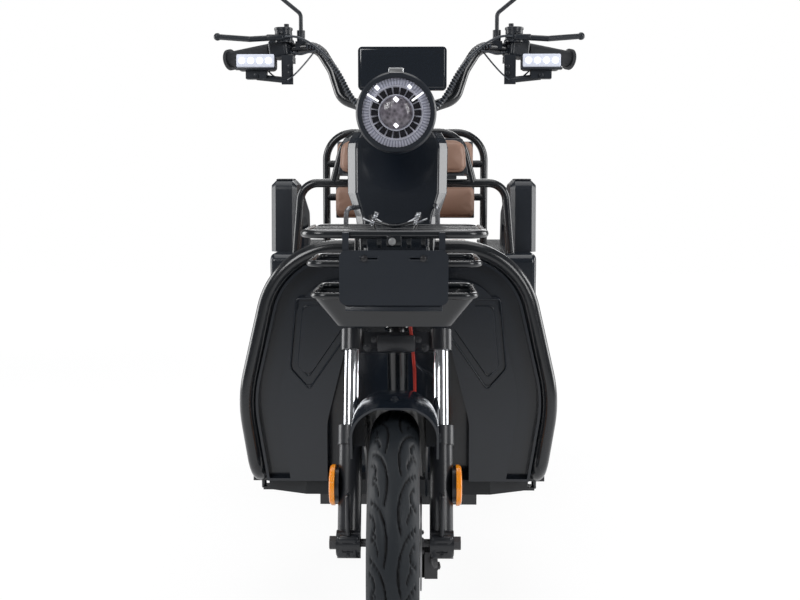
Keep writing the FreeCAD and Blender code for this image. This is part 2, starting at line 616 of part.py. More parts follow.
def mirrors():
    shapes = []
    for side in (-1, 1):
        start, _ = grip_axis(side)
        foot = Vec(side * size("mirror_foot_half"), start.y - 14,
                   size("bar_grip_height") + size("bar_radius") + 4)
        knee = Vec(foot.x, foot.y, size("mirror_bend_height"))
        elbow = Vec(side * size("mirror_knee_half"), foot.y + 6, size("mirror_knee_height"))
        head = Vec(side * size("mirror_centre_half"), foot.y + 24, size("mirror_centre_height"))
        stem = rod([foot, knee, elbow, head - Vec(side * 20, 4, 16)], size("mirror_stem_radius"), [0, 14, 20, 0])
        boss = Part.makeCylinder(size("mirror_boss_radius"), size("mirror_boss_height"), foot - Vec(0, 0, 4))
        ear = box_at(foot.x - 10, foot.x + 10, foot.y - 12, foot.y + 16, foot.z - 16, foot.z)
        shell = Part.makeBox(2 * size("mirror_half_width"), size("mirror_depth"), 2 * size("mirror_half_height"))
        shell = shell.makeFillet(size("mirror_corner"), [e for e in shell.Edges if ALONG_Y(e)])
        shell = shell.makeFillet(4, [e for e in shell.Edges if e.BoundBox.YLength < 0.1])
        shell.translate(head - Vec(size("mirror_half_width"), size("mirror_depth") / 2,
                                   size("mirror_half_height")))
        shapes.append(fused([stem, boss, ear, shell]).cut(bar_room(side)))
    feature("mirrors", Part.makeCompound(shapes))


def spot_lamps():
    """Two auxiliary lamps below the grips, each on an angled arm from a bracket on the bar."""
    w, h, d = size("lamp_width"), size("lamp_height"), size("lamp_depth")
    start, _ = grip_axis()
    y = start.y - size("lamp_forward")
    x, z = size("lamp_half"), size("lamp_centre_height")
    head = box_at(x - w / 2, x + w / 2, y - d / 2, y + d / 2, z - h / 2, z + h / 2)
    head = head.makeFillet(8, [e for e in head.Edges if ALONG_Y(e)])
    yoke_half, inner_x = size("lamp_yoke_half"), size("lamp_bracket_half")
    yoke = box_at(x - yoke_half, x + yoke_half, y - 12, y + 12, z - h / 2 - 16, z - h / 2 + 2)
    top, drop = size("bar_grip_height"), size("lamp_arm_drop")
    arm = bar_between(Vec(x, y, z - h / 2 - 12), Vec(inner_x, y + 8, top - drop), size("lamp_arm_thick") / 2)
    wide, thick = size("lamp_bracket_width") / 2, size("lamp_plate_thick")
    plate = box_at(inner_x - wide, inner_x + wide, y + 2, y + 2 + thick, top - drop - 8, top - 14)
    reach = box_at(inner_x - wide, inner_x + wide, y + 2, start.y + 4, top - 26, top - 14)
    bracket = fused([head, yoke, arm, plate, reach])
    feature("spot_lamps", both_sides(bracket.cut(bar_room(1)).cut(perch_block(1, GAP))))


def headlight():
    front = FRONT_Y + size("light_front")
    place = FreeCAD.Placement(Vec(0, front, size("light_height")), FreeCAD.Rotation(Vec(1, 0, 0), -90))
    bowl = [("0", "lens_depth"), ("light_radius - light_rim", "lens_depth"), ("light_radius - light_rim", "0"),
            ("light_radius - 3", "0"), ("light_radius", "4"), ("light_radius", "30"),
            ("light_back_radius", "light_depth"), ("0", "light_depth")]
    shell = turned("HeadlightBowl", bowl, place)
    edge = "light_radius - light_rim - seat_gap"
    lens = [("0", "-4"), ("8", "-4"), ("light_radius - light_rim - 14", "-2"), (edge, "3"),
            (edge, "lens_depth - seat_gap"), ("0", "lens_depth - seat_gap")]
    turned("headlight_lens", lens, place)
    half, thick = size("light_bracket_width") / 2, size("light_bracket_thick")
    y0 = front + size("light_depth") - 1
    y1 = FRONT_Y + size("bar_low_back") - size("clamp_block_depth") / 2 - GAP
    z = size("light_height")
    arms = [box_at(s * half - thick / 2, s * half + thick / 2, y0, y1, z + 14, z + 36) for s in (-1, 1)]
    web = box_at(-half, half, y0, y0 + thick, z - 16, z + 36)
    web_back = box_at(-half, half, y1 - thick, y1, z + 14, z + 36)
    joined("headlight_shell", [shell, feature("HeadlightBracket", fused(arms + [web, web_back]))])


def cables():
    """Wrapped cable bundles down both sides of the bar, and the brake hose down the left leg."""
    r = size("cable_radius")
    ahead = size("bar_radius") + r + 1.2
    low_y = FRONT_Y + size("bar_low_back")
    front = low_y - size("clamp_block_depth") / 2 - r - 3
    foot, elbow, knee, shoulder, grip, _ = handlebar_points()
    start = grip + (shoulder - grip).normalize() * 68
    x = size("light_bracket_width") / 2 + r + 9
    points = [start + Vec(0, -ahead, 0), shoulder + Vec(0, -ahead, 0), knee + Vec(-6, -ahead - 4, -3),
              elbow + Vec(-10, -ahead - 4, 2), foot + Vec(18, front - low_y + 2, -3),
              Vec(x, front, size("bar_low_height") - 14),
              Vec(x, front, size("bar_low_height") - 26)]
    bends = [0, 36, 60, 36, 30, 24, 0]
    bundle = rod(points, r, bends)
    hose = [(30, 0, size("crown_bottom") + 4 - GAP), (30, 0, size("crown_bottom") - 22), (84, 1.2, 296),
            (84, 1.2, 112), (68, 0.8, 60.4)]
    points = [steering_place(*p).Base for p in hose]
    hose_bends = [0, 12, 22, 40, 0]
    hose_shape = rod(points, size("hose_radius"), hose_bends)
    print("cable bends", bends[1:-1], "hose bends", hose_bends[1:-1])
    feature("control_cables", Part.makeCompound([bundle, mirrored_x(bundle), hose_shape]))


def display():
    w, h, t = size("display_width"), size("display_height"), size("display_thick")
    y = FRONT_Y + size("display_back")
    body = box_at(-w / 2, w / 2, y - t / 2, y + t / 2, 0, h)
    body = body.makeFillet(8, [e for e in body.Edges if ALONG_Y(e)])
    body.translate(Vec(size("display_across"), 0, size("display_base")))
    top = size("bar_low_height") + size("clamp_block_height") / 2 + GAP
    half = size("display_post_half")
    post = box_at(-half, half, y - 6, y + 6, top, size("display_base") + 4)
    feature("display", body.fuse(post).removeSplitter())


# ---------------------------------------------------------------- frame, shield, floor


def head_room(grow=None):
    """The steering head's own cylinder, longer at both ends, for cutting room round it."""
    room = Part.makeCylinder(size("head_radius") + (GAP if grow is None else grow), 900)
    room.Placement = steering_place(0, 0, 200)
    return room


def down_tube(radius):
    """The tube from the steering head down to the floor's front cross member."""
    y = back("rail_front") + size("cross_width") / 2
    low = size("floor_base")
    points = [steering_place(0, -6, size("head_bottom") + 44).Base, Vec(0, y, low + 120), Vec(0, y, low - 8)]
    return rod(points, radius, [0, 60, 0])


def main_frame():
    """Steering head, down tube, two floor rails with cross members, and the rear seat posts."""
    outer = Part.makeCylinder(size("head_radius"), size("head_top") - size("head_bottom"))
    outer.Placement = steering_place(0, 0, size("head_bottom"))
    half, w, h = size("rail_half"), size("rail_width"), size("rail_height")
    z1 = size("floor_base") - GAP
    z0 = z1 - h
    y0, y1 = back("rail_front"), back("rail_back")
    step_y, high = back("box_front") + 10, size("box_base") - GAP
    cross = size("cross_width")
    rails = [box_at(s * half - w / 2, s * half + w / 2, y0, step_y + cross, z0, z1) for s in (-1, 1)]
    rails += [box_at(s * half - w / 2, s * half + w / 2, step_y, y1, high - h, high) for s in (-1, 1)]
    crosses = [box_at(-half, half, y, y + cross, z0, z1) for y in (y0, back("floor_back") - 60, step_y)]
    crosses += [box_at(-half, half, y, y + cross, high - h, high) for y in (step_y, y1 - cross)]
    down = down_tube(size("down_tube_radius"))
    posts = [box_at(s * half - w / 2, s * half + w / 2, step_y, step_y + cross, z0, high) for s in (-1, 1)]
    solid = fused([outer] + rails + crosses + [down] + posts)
    bore = Part.makeCylinder(size("stem_radius") + size("steer_gap"), size("head_top"))
    bore.Placement = steering_place(0, 0, size("head_bottom") - 50)
    feature("main_frame", solid.cut(bore))


def hoop_points(side=1):
    y = back("hoop_back")
    return [
        Vec(side * size("hoop_foot_half"), y + size("hoop_foot_run"), size("hoop_foot_height")),
        Vec(side * size("hoop_foot_half"), y, size("hoop_foot_height")),
        Vec(side * size("hoop_knee_half"), y, size("hoop_knee_height")),
        Vec(side * size("hoop_corner_half"), y, size("hoop_top")),
    ]


def guard_hoop():
    points = hoop_points(-1) + list(reversed(hoop_points(1)))
    foot, knee, corner = size("hoop_foot_bend"), size("hoop_knee_bend"), size("hoop_corner_bend")
    tube = rod(points, size("hoop_tube"), [0, foot, knee, corner, corner, knee, foot, 0])
    brackets = []
    for side in (-1, 1):
        x = side * size("hoop_foot_half")
        y = back("hoop_back") + size("hoop_foot_run") - 34
        z = size("hoop_foot_height")
        clamp = box_at(x - 20, x + 20, y, y + 28, z - 24, z + 18)
        bolt = Part.makeCylinder(5, 22, Vec(x, y + 14, z - 42))
        tab_in = side * (size("floor_half") - 40)
        tab = box_at(min(x, tab_in), max(x, tab_in), y, y + 28, size("floor_base") - 6 - GAP,
                     size("floor_base") - GAP)
        floor_room = box_at(-size("floor_half") - GAP, size("floor_half") + GAP, y - 60, y + 90,
                            size("floor_base") - GAP, size("floor_base") + size("floor_thick") + 60)
        brackets.append(fused([clamp, bolt, tab]).cut(floor_room))
    feature("guard_hoop", fused([tube] + brackets))


def shield_face(y, inset, base):
    """The leg shield's front outline: the hoop's middle line moved inwards, closed along the floor."""
    low = base - inset
    rise = size("hoop_knee_height") - size("hoop_foot_height")
    lean = (size("hoop_knee_half") - size("hoop_foot_half")) / rise
    foot = size("hoop_foot_half") + (low - size("hoop_foot_height")) * lean
    knee, corner = size("hoop_knee_half"), size("hoop_corner_half")
    points = [Vec(-foot, y, low), Vec(-knee, y, size("hoop_knee_height")), Vec(-corner, y, size("hoop_top")),
              Vec(corner, y, size("hoop_top")), Vec(knee, y, size("hoop_knee_height")), Vec(foot, y, low)]
    knee_bend, corner_bend = size("hoop_knee_bend"), size("hoop_corner_bend")
    wire = bent_path(points, [0, knee_bend, corner_bend, corner_bend, knee_bend, 0], closed=True)
    return Part.Face(wire.makeOffset2D(-inset))


# the pressed groove on each side of the leg shield: places across and up, on the rider's left
GROOVE = [(150, 612), (192, 612), (204, 484), (176, 452), (104, 556)]


def channel(places, y, width, bend):
    """The face of a groove of one width that follows level and sloping runs across a front."""
    points = [Vec(x, y, z) for x, z in places]
    sides = []
    for hand in (1, -1):
        row = []
        for i, here in enumerate(points):
            runs = [b - a for a, b in zip(points, points[1:])][max(i - 1, 0):i + 1]
            normals = [Vec(-run.z, 0, run.x).normalize() for run in runs]
            mean = normals[0] + normals[-1]
            row.append(here + mean * (hand * width / mean.dot(normals[0]) / 2))
        sides.append(row)
    ring_points = sides[0] + list(reversed(sides[1]))
    last = len(points) - 1
    bends = [3 if i % len(points) in (0, last) else bend for i in range(len(ring_points))]
    return Part.Face(bent_path(ring_points, bends, closed=True))


def leg_shield():
    """A dished panel inside the hoop, with the front wheel's opening and its closed splash well behind."""
    wall, depth, margin = size("shield_wall"), size("dish_depth"), size("dish_margin")
    edge = size("hoop_tube") + GAP
    y = back("hoop_back") - 6
    base = size("floor_base") + size("floor_thick") + GAP
    outer = shield_face(y, edge, base).extrude(Vec(0, depth, 0))
    hollow = shield_face(y - 1, edge + wall, base + wall).extrude(Vec(0, depth - wall + 1, 0))
    field = shield_face(y, edge + margin, base + wall).extrude(Vec(0, depth, 0))
    field_back = shield_face(y + wall, edge + margin + wall, base - 10).extrude(Vec(0, depth, 0))
    skin = outer.cut(hollow).fuse(field.cut(field_back))

    half, top_half, top = size("arch_half"), size("arch_top_half"), size("arch_top")
    waist = size("arch_waist")
    points = [Vec(-half, y - 30, base - 50), Vec(-half, y - 30, waist), Vec(-top_half, y - 30, top),
              Vec(top_half, y - 30, top), Vec(half, y - 30, waist), Vec(half, y - 30, base - 50)]
    arch = Part.Face(bent_path(points, [0, 120, 50, 50, 120, 0], closed=True)).extrude(Vec(0, 120, 0))
    rear = back("splash_back")
    side, roof = half + size("splash_side"), top + size("splash_side")
    well = box_at(-side, side, y + 3, rear + wall, base, roof)
    well = well.cut(box_at(-side + wall, side - wall, y, rear, base - 1, roof - wall))
    groove = channel(GROOVE, y, size("groove_width"), 14).extrude(Vec(0, size("groove_depth"), 0))
    shell = skin.cut(arch).fuse(well).cut(both_sides(groove))
    feature("leg_shield", shell.cut(head_room(8)).cut(cover_solid(GAP)).removeSplitter())


def cover_solid(grow):
    """The front cover's outer body: it widens up to its waist, then rounds over, along the steering head."""
    wide, shoulder = size("cover_half_width"), size("cover_shoulder_half")
    waist, top = size("cover_waist"), size("cover_top")
    stations = [(size("cover_base"), size("cover_foot_half"), 0.7), (size("cover_tuck_height"),
                size("cover_tuck_half"), 0.88), (size("cover_full_height"), size("cover_full_half"), 0.97)]
    for k in (0, 1, 2, 3):
        raised = (k / 3) ** 2
        stations.append((waist + (top - waist) * k / 3, wide - (wide - shoulder) * raised, 1 - 0.06 * raised))
    soft, round_back = size("cover_edge_bend"), size("cover_rear_bend")
    sections = []
    for z, half, share in stations:
        bevel = size("cover_bevel") * half / wide
        half += grow
        axis = steering_axis_y(z)
        front = axis - size("cover_front") * share - grow
        rear = axis + size("cover_back") * share + grow
        run = front + size("cover_bevel_run")
        points = [Vec(-half + bevel, front, z), Vec(half - bevel, front, z), Vec(half, run, z),
                  Vec(half, rear, z), Vec(-half, rear, z), Vec(-half, run, z)]
        sections.append(bent_path(points, [soft, soft, soft, round_back, round_back, soft], closed=True))
    return Part.makeLoft(sections, True, True)


def front_cover():
    solid = cover_solid(0)
    tube = down_tube(size("down_tube_radius") + GAP)
    hoop_y, hoop_z, reach = back("hoop_back"), size("hoop_top"), size("cover_half_width") + 20
    hoop = bar_between(Vec(-reach, hoop_y, hoop_z), Vec(reach, hoop_y, hoop_z), size("hoop_tube") + GAP)
    for tool in [head_room(), tube, rack_bracket(GAP), hoop] + rack_stays(size("stay_radius") + GAP):
        solid = solid.cut(tool)
    feature("front_cover", max(solid.Solids, key=lambda piece: piece.Volume))


def floorboard():
    place = FreeCAD.Placement(Vec(0, FRONT_Y, size("floor_base")), FreeCAD.Rotation())
    board = padded("FloorBlank", "XY_Plane", [
        ("-floor_half", "floor_front + 34"), ("-floor_half * 0.7", "floor_front"),
        ("floor_half * 0.7", "floor_front"),
        ("floor_half", "floor_front + 34"), ("floor_half", "floor_back"), ("-floor_half", "floor_back")],
        "floor_thick", place)
    tube_y = back("rail_front") + size("cross_width") / 2
    room = primitive("Cylinder", "FloorHole", FreeCAD.Placement(Vec(0, tube_y, 100), FreeCAD.Rotation()),
                     Radius="down_tube_radius + bearing_gap", Height="300")
    minus("floorboard", board, room)


# ---------------------------------------------------------------- carrier


def ring(z, half, front, rear):
    """Four corners of a level frame, measured back from the front axle."""
    y0, y1 = back(front), back(rear)
    return [Vec(-half, y0, z), Vec(half, y0, z), Vec(half, y1, z), Vec(-half, y1, z)]


def rack_bracket(grow):
    """The bracket that joins the rack to the steering head, inside the front cover."""
    z, tube = size("rack_height"), size("rack_tube")
    block = box_at(-26 - grow, 26 + grow, back("rack_back"), steering_axis_y(z),
                   z - tube - grow, z + tube + grow)
    return block.cut(head_room())


def rack_stays(radius):
    """Two round stays from the basket back and down to the steering head."""
    y, z = back("ring_back"), size("ring_two_height")
    shapes = []
    for s in (-1, 1):
        end = steering_place(s * (size("head_radius") + 3), 4, size("head_bottom") + 34).Base
        shapes.append(rod([Vec(s * 66, y + 3, z), Vec(s * 66, y + 8, z - 46), end], radius, 16))
    return shapes


def carrier():
    """Top rack with a spring clip, basket rings and a dished pan, all carried by the steering head."""
    z, half, tube = size("rack_height"), size("rack_half_width"), size("rack_tube")
    parts = [rod(ring(z, half, "rack_front", "rack_back"), tube, size("rack_bend"), closed=True)]
    y0, y1 = back("rack_front"), back("rack_back")
    for share in (0.3, 0.55, 0.8):
        y = y0 + (y1 - y0) * share
        parts.append(bar_between(Vec(-half, y, z), Vec(half, y, z), tube * 0.7))
    small = size("ring_tube")
    ring_y0, ring_y1 = back("ring_front"), back("ring_back")
    for name in ("one", "two"):
        ring_z, ring_half = size(f"ring_{name}_height"), size(f"ring_{name}_half")
        parts.append(rod(ring(ring_z, ring_half, "ring_front", "ring_back"), small,
                         size("ring_bend"), closed=True))
    low = size("ring_two_height")
    for s in (-1, 1):
        for y in (ring_y0, ring_y1):
            parts.append(bar_between(Vec(s * 60, y, low), Vec(s * 60, y, z), small * 0.7))
    # the spring clip: two posts and a bent wire bow
    clip_y, clip_z = y0 + size("clip_back"), z
    for s in (-1, 1):
        parts.append(bar_between(Vec(s * 30, clip_y, clip_z), Vec(s * 42, clip_y + 6, clip_z + 28),
                                 size("clip_wire")))
    parts.append(rod([Vec(-42, clip_y + 4, clip_z + 20), Vec(0, clip_y - 8, clip_z + 9),
                      Vec(42, clip_y + 4, clip_z + 20)], 2.5, 26))
    parts += rack_stays(size("stay_radius"))
    feature("carrier_rack", fused(parts + [rack_bracket(0)]).cut(head_room()))

    top, height = size("ring_two_height") - size("ring_tube") - GAP, size("pan_height")
    wide, foot, wall = size("pan_top_half"), size("pan_foot_half"), size("pan_wall")

    def tub(shrink, lift):
        upper = [Vec(-wide + shrink, ring_y0 + 1 + shrink, top), Vec(wide - shrink, ring_y0 + 1 + shrink, top),
                 Vec(wide - shrink, ring_y1 - 1 - shrink, top), Vec(-wide + shrink, ring_y1 - 1 - shrink, top)]
        lower = [Vec(-foot + shrink, ring_y0 + 14 + shrink, top - height + lift),
                 Vec(foot - shrink, ring_y0 + 14 + shrink, top - height + lift),
                 Vec(foot - shrink, ring_y1 - 14 - shrink, top - height + lift),
                 Vec(-foot + shrink, ring_y1 - 14 - shrink, top - height + lift)]
        return Part.makeLoft([bent_path(upper, 22, closed=True), bent_path(lower, 22, closed=True)], True, False)

    feature("basket_pan", tub(0, 0).cut(tub(wall, wall)))


def plate():
    """Number plate carrier hung from the rack's front tube by two straps."""
    y = back("plate_forward")
    place = FreeCAD.Placement(Vec(0, y, size("plate_base")), FreeCAD.Rotation())
    board = padded("PlateBoard", "XZ_Plane", [
        ("-plate_width / 2", "0"), ("plate_width / 2", "0"), ("plate_width / 2", "plate_height"),
        ("-plate_width / 2", "plate_height")], "plate_thick", place)
    rounded(board, "plate_corner", ALONG_Y)
    z, w = size("rack_height"), size("strap_width") / 2
    rear = back("rack_front") - size("rack_tube") - GAP
    straps = []
    for s in (-1, 1):
        x = s * size("strap_half")
        straps.append(box_at(x - w, x + w, y - 0.5, y + 3, z - 70, z + 4))
        straps.append(box_at(x - w, x + w, y, rear, z - 4, z + 4))
    joined("plate_carrier", [board, feature("PlateStraps", fused(straps[:2])),
                             feature("PlateStrapsOther", fused(straps[2:]))])


# ---------------------------------------------------------------- seats and rear body


def cushion(name, half, front, rear, base, thick, corner="seat_round"):
    """A plain soft block with rounded corners and top edges."""
    place = FreeCAD.Placement(Vec(0, FRONT_Y, 0), FreeCAD.Rotation())
    body = padded(name, "XY_Plane", [
        (f"-{half}", front), (half, front), (half, rear), (f"-{half}", rear)], thick, place)
    body.Placement = FreeCAD.Placement(Vec(0, FRONT_Y, base), FreeCAD.Rotation())
    rounded(body, corner, ALONG_Z)
    return body


def lid_knuckles(y, z, half):
    """Hinge barrels on the front face of a box whose lid swings up forwards."""
    ahead, drop, r = size("lid_pivot_ahead"), size("lid_pivot_drop"), size("lid_knuckle")
    shapes = []
    for x in (-half, half - 40):
        shapes.append(Part.makeCylinder(r, 40, Vec(x, y - ahead, z - drop), Vec(1, 0, 0)))
        shapes.append(box_at(x, x + 40, y - ahead, y + 1, z - drop - 4, z - drop + 2))
    return shapes


def driver_seat():
    top = size("pedestal_top")
    half, wall = size("pedestal_half"), size("pedestal_wall")
    y0, y1 = back("pedestal_front"), back("pedestal_back")
    z0 = size("floor_base") + size("floor_thick")
    rail_top = size("floor_base") - GAP
    outer = box_at(-half, half, y0, y1, z0, top)
    outer = outer.makeFillet(24, [e for e in outer.Edges if ALONG_Z(e)])
    inner = box_at(-half + wall, half - wall, y0 + wall, y1 - wall, z0 + wall, top + 1)
    skirt_y = back("floor_back") + GAP
    skirt = box_at(-half, half, skirt_y, y1, rail_top + GAP, z0)
    pivots = lid_knuckles(back("pedestal_front"), top, half - 70)
    feature("seat_pedestal", fused([outer.cut(inner), skirt] + pivots))

    middle = (y0 + y1) / 2
    length, high = size("battery_length"), size("battery_height")
    base = z0 + wall + GAP
    place = FreeCAD.Placement(Vec(-size("battery_half"), middle - length / 2, base), FreeCAD.Rotation())
    label(primitive("Box", "battery_pack", place, Length="2 * battery_half", Width="battery_length",
                    Height="battery_height"), "battery_pack")

    cushion("driver_seat", "driver_seat_half", "driver_seat_front", "driver_seat_back",
            top + GAP, "driver_seat_thick")


def grab_bar():
    y, z = back("grab_back"), size("grab_height")
    half, foot, tube = size("grab_half"), size("grab_foot_half"), size("grab_tube")
    low = size("panel_top") + 1 + GAP
    across = rod([Vec(-foot, y, low), Vec(-half, y, z), Vec(half, y, z), Vec(foot, y, low)], tube,
                 [0, size("grab_bend"), size("grab_bend"), 0])
    arch = rod([Vec(-size("arch_foot_half"), y, z), Vec(-size("arch_peak_half"), y, size("arch_peak")),
                Vec(size("arch_peak_half"), y, size("arch_peak")), Vec(size("arch_foot_half"), y, z)], tube,
               [0, size("arch_bend"), size("arch_bend"), 0])
    feature("grab_bar", fused([across, arch]))


def backrests():
    """Driver's pad on the arch, and the rear frame with its two pads."""
    y = back("grab_back") - size("grab_tube") - GAP
    half = size("driver_pad_half")
    z0, z1 = size("driver_pad_base"), size("driver_pad_top")
    pad = box_at(-half, half, y - size("driver_pad_thick"), y, z0, z1)
    top = [e for e in pad.Edges if ALONG_Y(e) and e.BoundBox.ZMin > (z0 + z1) / 2]
    pad = pad.makeFillet(size("driver_pad_round") + 20, top)
    low = [e for e in pad.Edges if ALONG_Y(e) and e.BoundBox.ZMin < z0 + 1]
    pad = pad.makeFillet(size("driver_pad_round") / 2, low)
    plate = box_at(-half + 30, half - 30, y - 6, y + GAP, z0 - 12, z0 + 20)
    feature("driver_backrest", pad.fuse(plate).removeSplitter())

    y = back("back_frame_y")
    half, top, tube = size("back_frame_half"), size("back_frame_top"), size("grab_tube")
    low = size("panel_top") + GAP
    frame = rod([Vec(-half, y, low), Vec(-half, y, top), Vec(half, y, top), Vec(half, y, low)], tube,
                [0, size("back_frame_bend"), size("back_frame_bend"), 0])
    rail_zs = (size("back_pad_upper_base") + 40, size("back_pad_lower_top") - 40)
    rails = [bar_between(Vec(-half, y, z), Vec(half, y, z), tube) for z in rail_zs]
    feature("rear_back_frame", fused([frame] + rails))

    front = y - tube - GAP - size("back_pad_thick")
    pads = []
    for which in ("upper", "lower"):
        half = size(f"back_pad_{which}_half")
        z0, z1 = size(f"back_pad_{which}_base"), size(f"back_pad_{which}_top")
        pad = box_at(-half, half, front, y - tube - GAP, z0, z1)
        pads.append(pad.makeFillet(24, [e for e in pad.Edges if ALONG_Y(e)]))
    feature("rear_back_pads", Part.makeCompound(pads))


def cargo_box():
    """Open steel box under the rear seat: floor, front and side walls. The tailgate closes it behind."""
    half, wall = size("box_half"), size("box_wall")
    y0, y1 = back("box_front"), back("box_back")
    z0, z1 = size("box_base"), size("box_top")
    outer = box_at(-half, half, y0, y1, z0, z1)
    lip = size("box_lip")
    inner = box_at(-half + wall, half - wall, y0 + wall, y1 + 1, z0 + wall, z1 - wall)
    mouth = box_at(-half + lip, half - lip, y0 + lip, y1 + 1, z0 + wall, z1 + 1)
    tub = outer.cut(inner).cut(mouth)
    # rear deck that carries the backrest frame, behind the seat
    deck_y = back("rear_seat_back") + size("moving_gap")
    deck = box_at(-half, half, deck_y, y1, z1 - 1, z1 + size("deck_thick"))
    feature("cargo_box", fused([tub, deck] + lid_knuckles(y0, z1, half - 60)))


def tailgate():
    half, thick = size("box_half"), size("gate_thick")
    y = back("box_back") + GAP
    z0, z1 = size("box_base"), size("box_top")
    panel = box_at(-half, half, y + 1, y + 1 + thick, z0 + 16, z1 - 2)
    panel = panel.makeFillet(5, [e for e in panel.Edges if ALONG_Y(e)])
    radius = size("gate_hinge_radius")
    knuckles = [Part.makeCylinder(radius, 50, Vec(x, y + 1 + thick / 2, z0 + 8), Vec(1, 0, 0))
                for x in (-170, 120)]
    ears = [box_at(x, x + 50, y + 1, y + 1 + thick, z0 + 8, z0 + 18) for x in (-170, 120)]
    feature("tailgate", fused([panel] + knuckles + ears))


def rear_seat():
    z = size("box_top") + GAP
    cushion("rear_seat", "rear_seat_half", "rear_seat_front", "rear_seat_back",
            z, "rear_seat_thick")


def side_panels():
    """Rear side panels, each with a wheel well cut in from below and inside a thin outer skin."""
    x0, x1 = size("box_half") + GAP, size("panel_outside")
    y0, y1 = back("panel_front"), back("panel_back")
    z0, z1 = size("panel_base"), size("panel_top")
    block = box_at(x0, x1, y0, y1, z0, z1)
    block = block.makeFillet(22, [e for e in block.Edges if ALONG_X(e) and e.BoundBox.ZMin > z0 + 50])
    block = block.makeFillet(12, [e for e in block.Edges if e.BoundBox.XMin > x1 - 0.1 and not ALONG_X(e)
                                  and e.BoundBox.ZMax > z0 + 1])
    well = Part.makeCylinder(size("well_radius"), x1 - size("panel_skin") - size("well_inside"),
                             Vec(size("well_inside"), REAR_Y, AXLE_Z), Vec(1, 0, 0))
    arch = Part.makeCylinder(size("well_radius") - 16, 300, Vec(x0 + 30, REAR_Y, AXLE_Z), Vec(1, 0, 0))
    panel = block.cut(well).cut(arch)
    feature("side_panels", both_sides(panel.removeSplitter()))


def armrests():
    """Thick armrest covers: an upright front leg, a sloping top and a short rear leg."""
    x0, x1 = size("arm_inside"), size("arm_outside")
    y0, y1 = back("arm_front"), back("arm_rear")
    top, rear_top = size("arm_top"), size("arm_rear_top")
    thick = size("arm_thick")
    foot = size("panel_top") + GAP
    points = [Vec(x0, y0 - 14, foot), Vec(x0, y0, top), Vec(x0, y0 + 120, top), Vec(x0, y1, rear_top),
              Vec(x0, y1 + 20, foot), Vec(x0, y1 - thick, foot), Vec(x0, y1 - thick - 6, rear_top - thick + 8),
              Vec(x0, y0 + thick + 20, top - thick), Vec(x0, y0 + thick, foot)]
    edges = bent_path(points, [0, 26, 40, 34, 0, 0, 20, 30, 0]).Edges
    edges.append(Part.LineSegment(points[-1], points[0]).toShape())
    face = Part.Face(Part.Wire(Part.__sortEdges__(edges)))
    solid = face.extrude(Vec(x1 - x0, 0, 0))
    cut = size("arm_chamfer")
    lip = [e for e in solid.Edges if e.BoundBox.XLength < 0.1 and e.BoundBox.ZMax > foot + 1]
    solid = solid.makeChamfer(cut * 0.6, lip)
    bar = rod([Vec(size("grab_foot_half"), back("grab_back"), size("panel_top")),
               Vec(size("grab_half"), back("grab_back"), size("grab_height")),
               Vec(0, back("grab_back"), size("grab_height"))],
              size("grab_tube") + GAP, [0, size("grab_bend"), 0])
    feature("armrests", both_sides(solid.cut(bar)))


def tail_lights():
    w, h, d = size("tail_light_width"), size("tail_light_height"), size("tail_light_depth")
    x = (size("box_half") + size("panel_outside")) / 2
    y = back("panel_back") + GAP
    z = size("tail_light_base")
    lamp = box_at(x - w / 2, x + w / 2, y, y + d, z, z + h)
    lamp = lamp.makeFillet(10, [e for e in lamp.Edges if ALONG_Y(e)])
    feature("tail_lights", both_sides(lamp))


def rear_axle():
    """Axle tube with the motor and gear case in the middle, and brake drums at the wheels."""
    inner = size("wheel_track") / 2 - size("hub_length") / 2 - GAP
    tube = Part.makeCylinder(size("axle_tube_radius"), 2 * (inner - size("drum_length")),
                             Vec(-inner + size("drum_length"), REAR_Y, AXLE_Z), Vec(1, 0, 0))
    motor = Part.makeCylinder(size("motor_radius"), size("motor_length"),
                              Vec(-size("motor_length") / 2, REAR_Y, AXLE_Z), Vec(1, 0, 0))
    drums = [Part.makeCylinder(size("drum_radius"), size("drum_length") - 6,
                               Vec(s * (inner - size("drum_length") / 2) - size("drum_length") / 2 + 3, REAR_Y,
                                   AXLE_Z), Vec(1, 0, 0)) for s in (-1, 1)]
    reach = size("wheel_track") / 2 + size("hub_length") / 2 + 14
    shaft = Part.makeCylinder(size("axle_radius"), 2 * reach, Vec(-reach, REAR_Y, AXLE_Z), Vec(1, 0, 0))
    # coil shock absorbers from the axle tube up to the box floor
    low = AXLE_Z
    high = size("box_base") - GAP
    x = size("shock_half")
    shocks = [Part.makeCylinder(size("shock_radius"), high - low, Vec(s * x, REAR_Y, low)) for s in (-1, 1)]
    feature("rear_axle", fused([tube, motor] + drums + [shaft] + shocks))


wheels()
fork()
mudguard()
reflectors()
caliper()
handlebar()
mirrors()
spot_lamps()
headlight()
cables()
display()
main_frame()
guard_hoop()
leg_shield()
front_cover()
floorboard()
carrier()
plate()
driver_seat()
grab_bar()
backrests()
cargo_box()
tailgate()
rear_seat()
side_panels()
armrests()
tail_lights()
rear_axle()
doc.recompute()

NODES = [
    "front_tyre", "front_rim", "brake_disc", "rear_tyre_left", "rear_rim_left", "rear_tyre_right",
    "rear_rim_right", "fork_tubes", "fork_legs", "front_axle", "fork_crown", "front_mudguard",
    "fork_reflectors", "brake_caliper", "handlebar", "grips", "brake_levers", "mirrors", "spot_lamps",
    "headlight_shell", "headlight_lens", "control_cables", "display", "main_frame", "guard_hoop",
    "leg_shield", "front_cover", "floorboard", "carrier_rack", "basket_pan", "plate_carrier",
    "seat_pedestal", "battery_pack", "driver_seat", "grab_bar", "driver_backrest", "rear_back_frame",
    "rear_back_pads", "cargo_box", "tailgate", "rear_seat", "side_panels", "armrests", "tail_lights",
    "rear_axle",
]

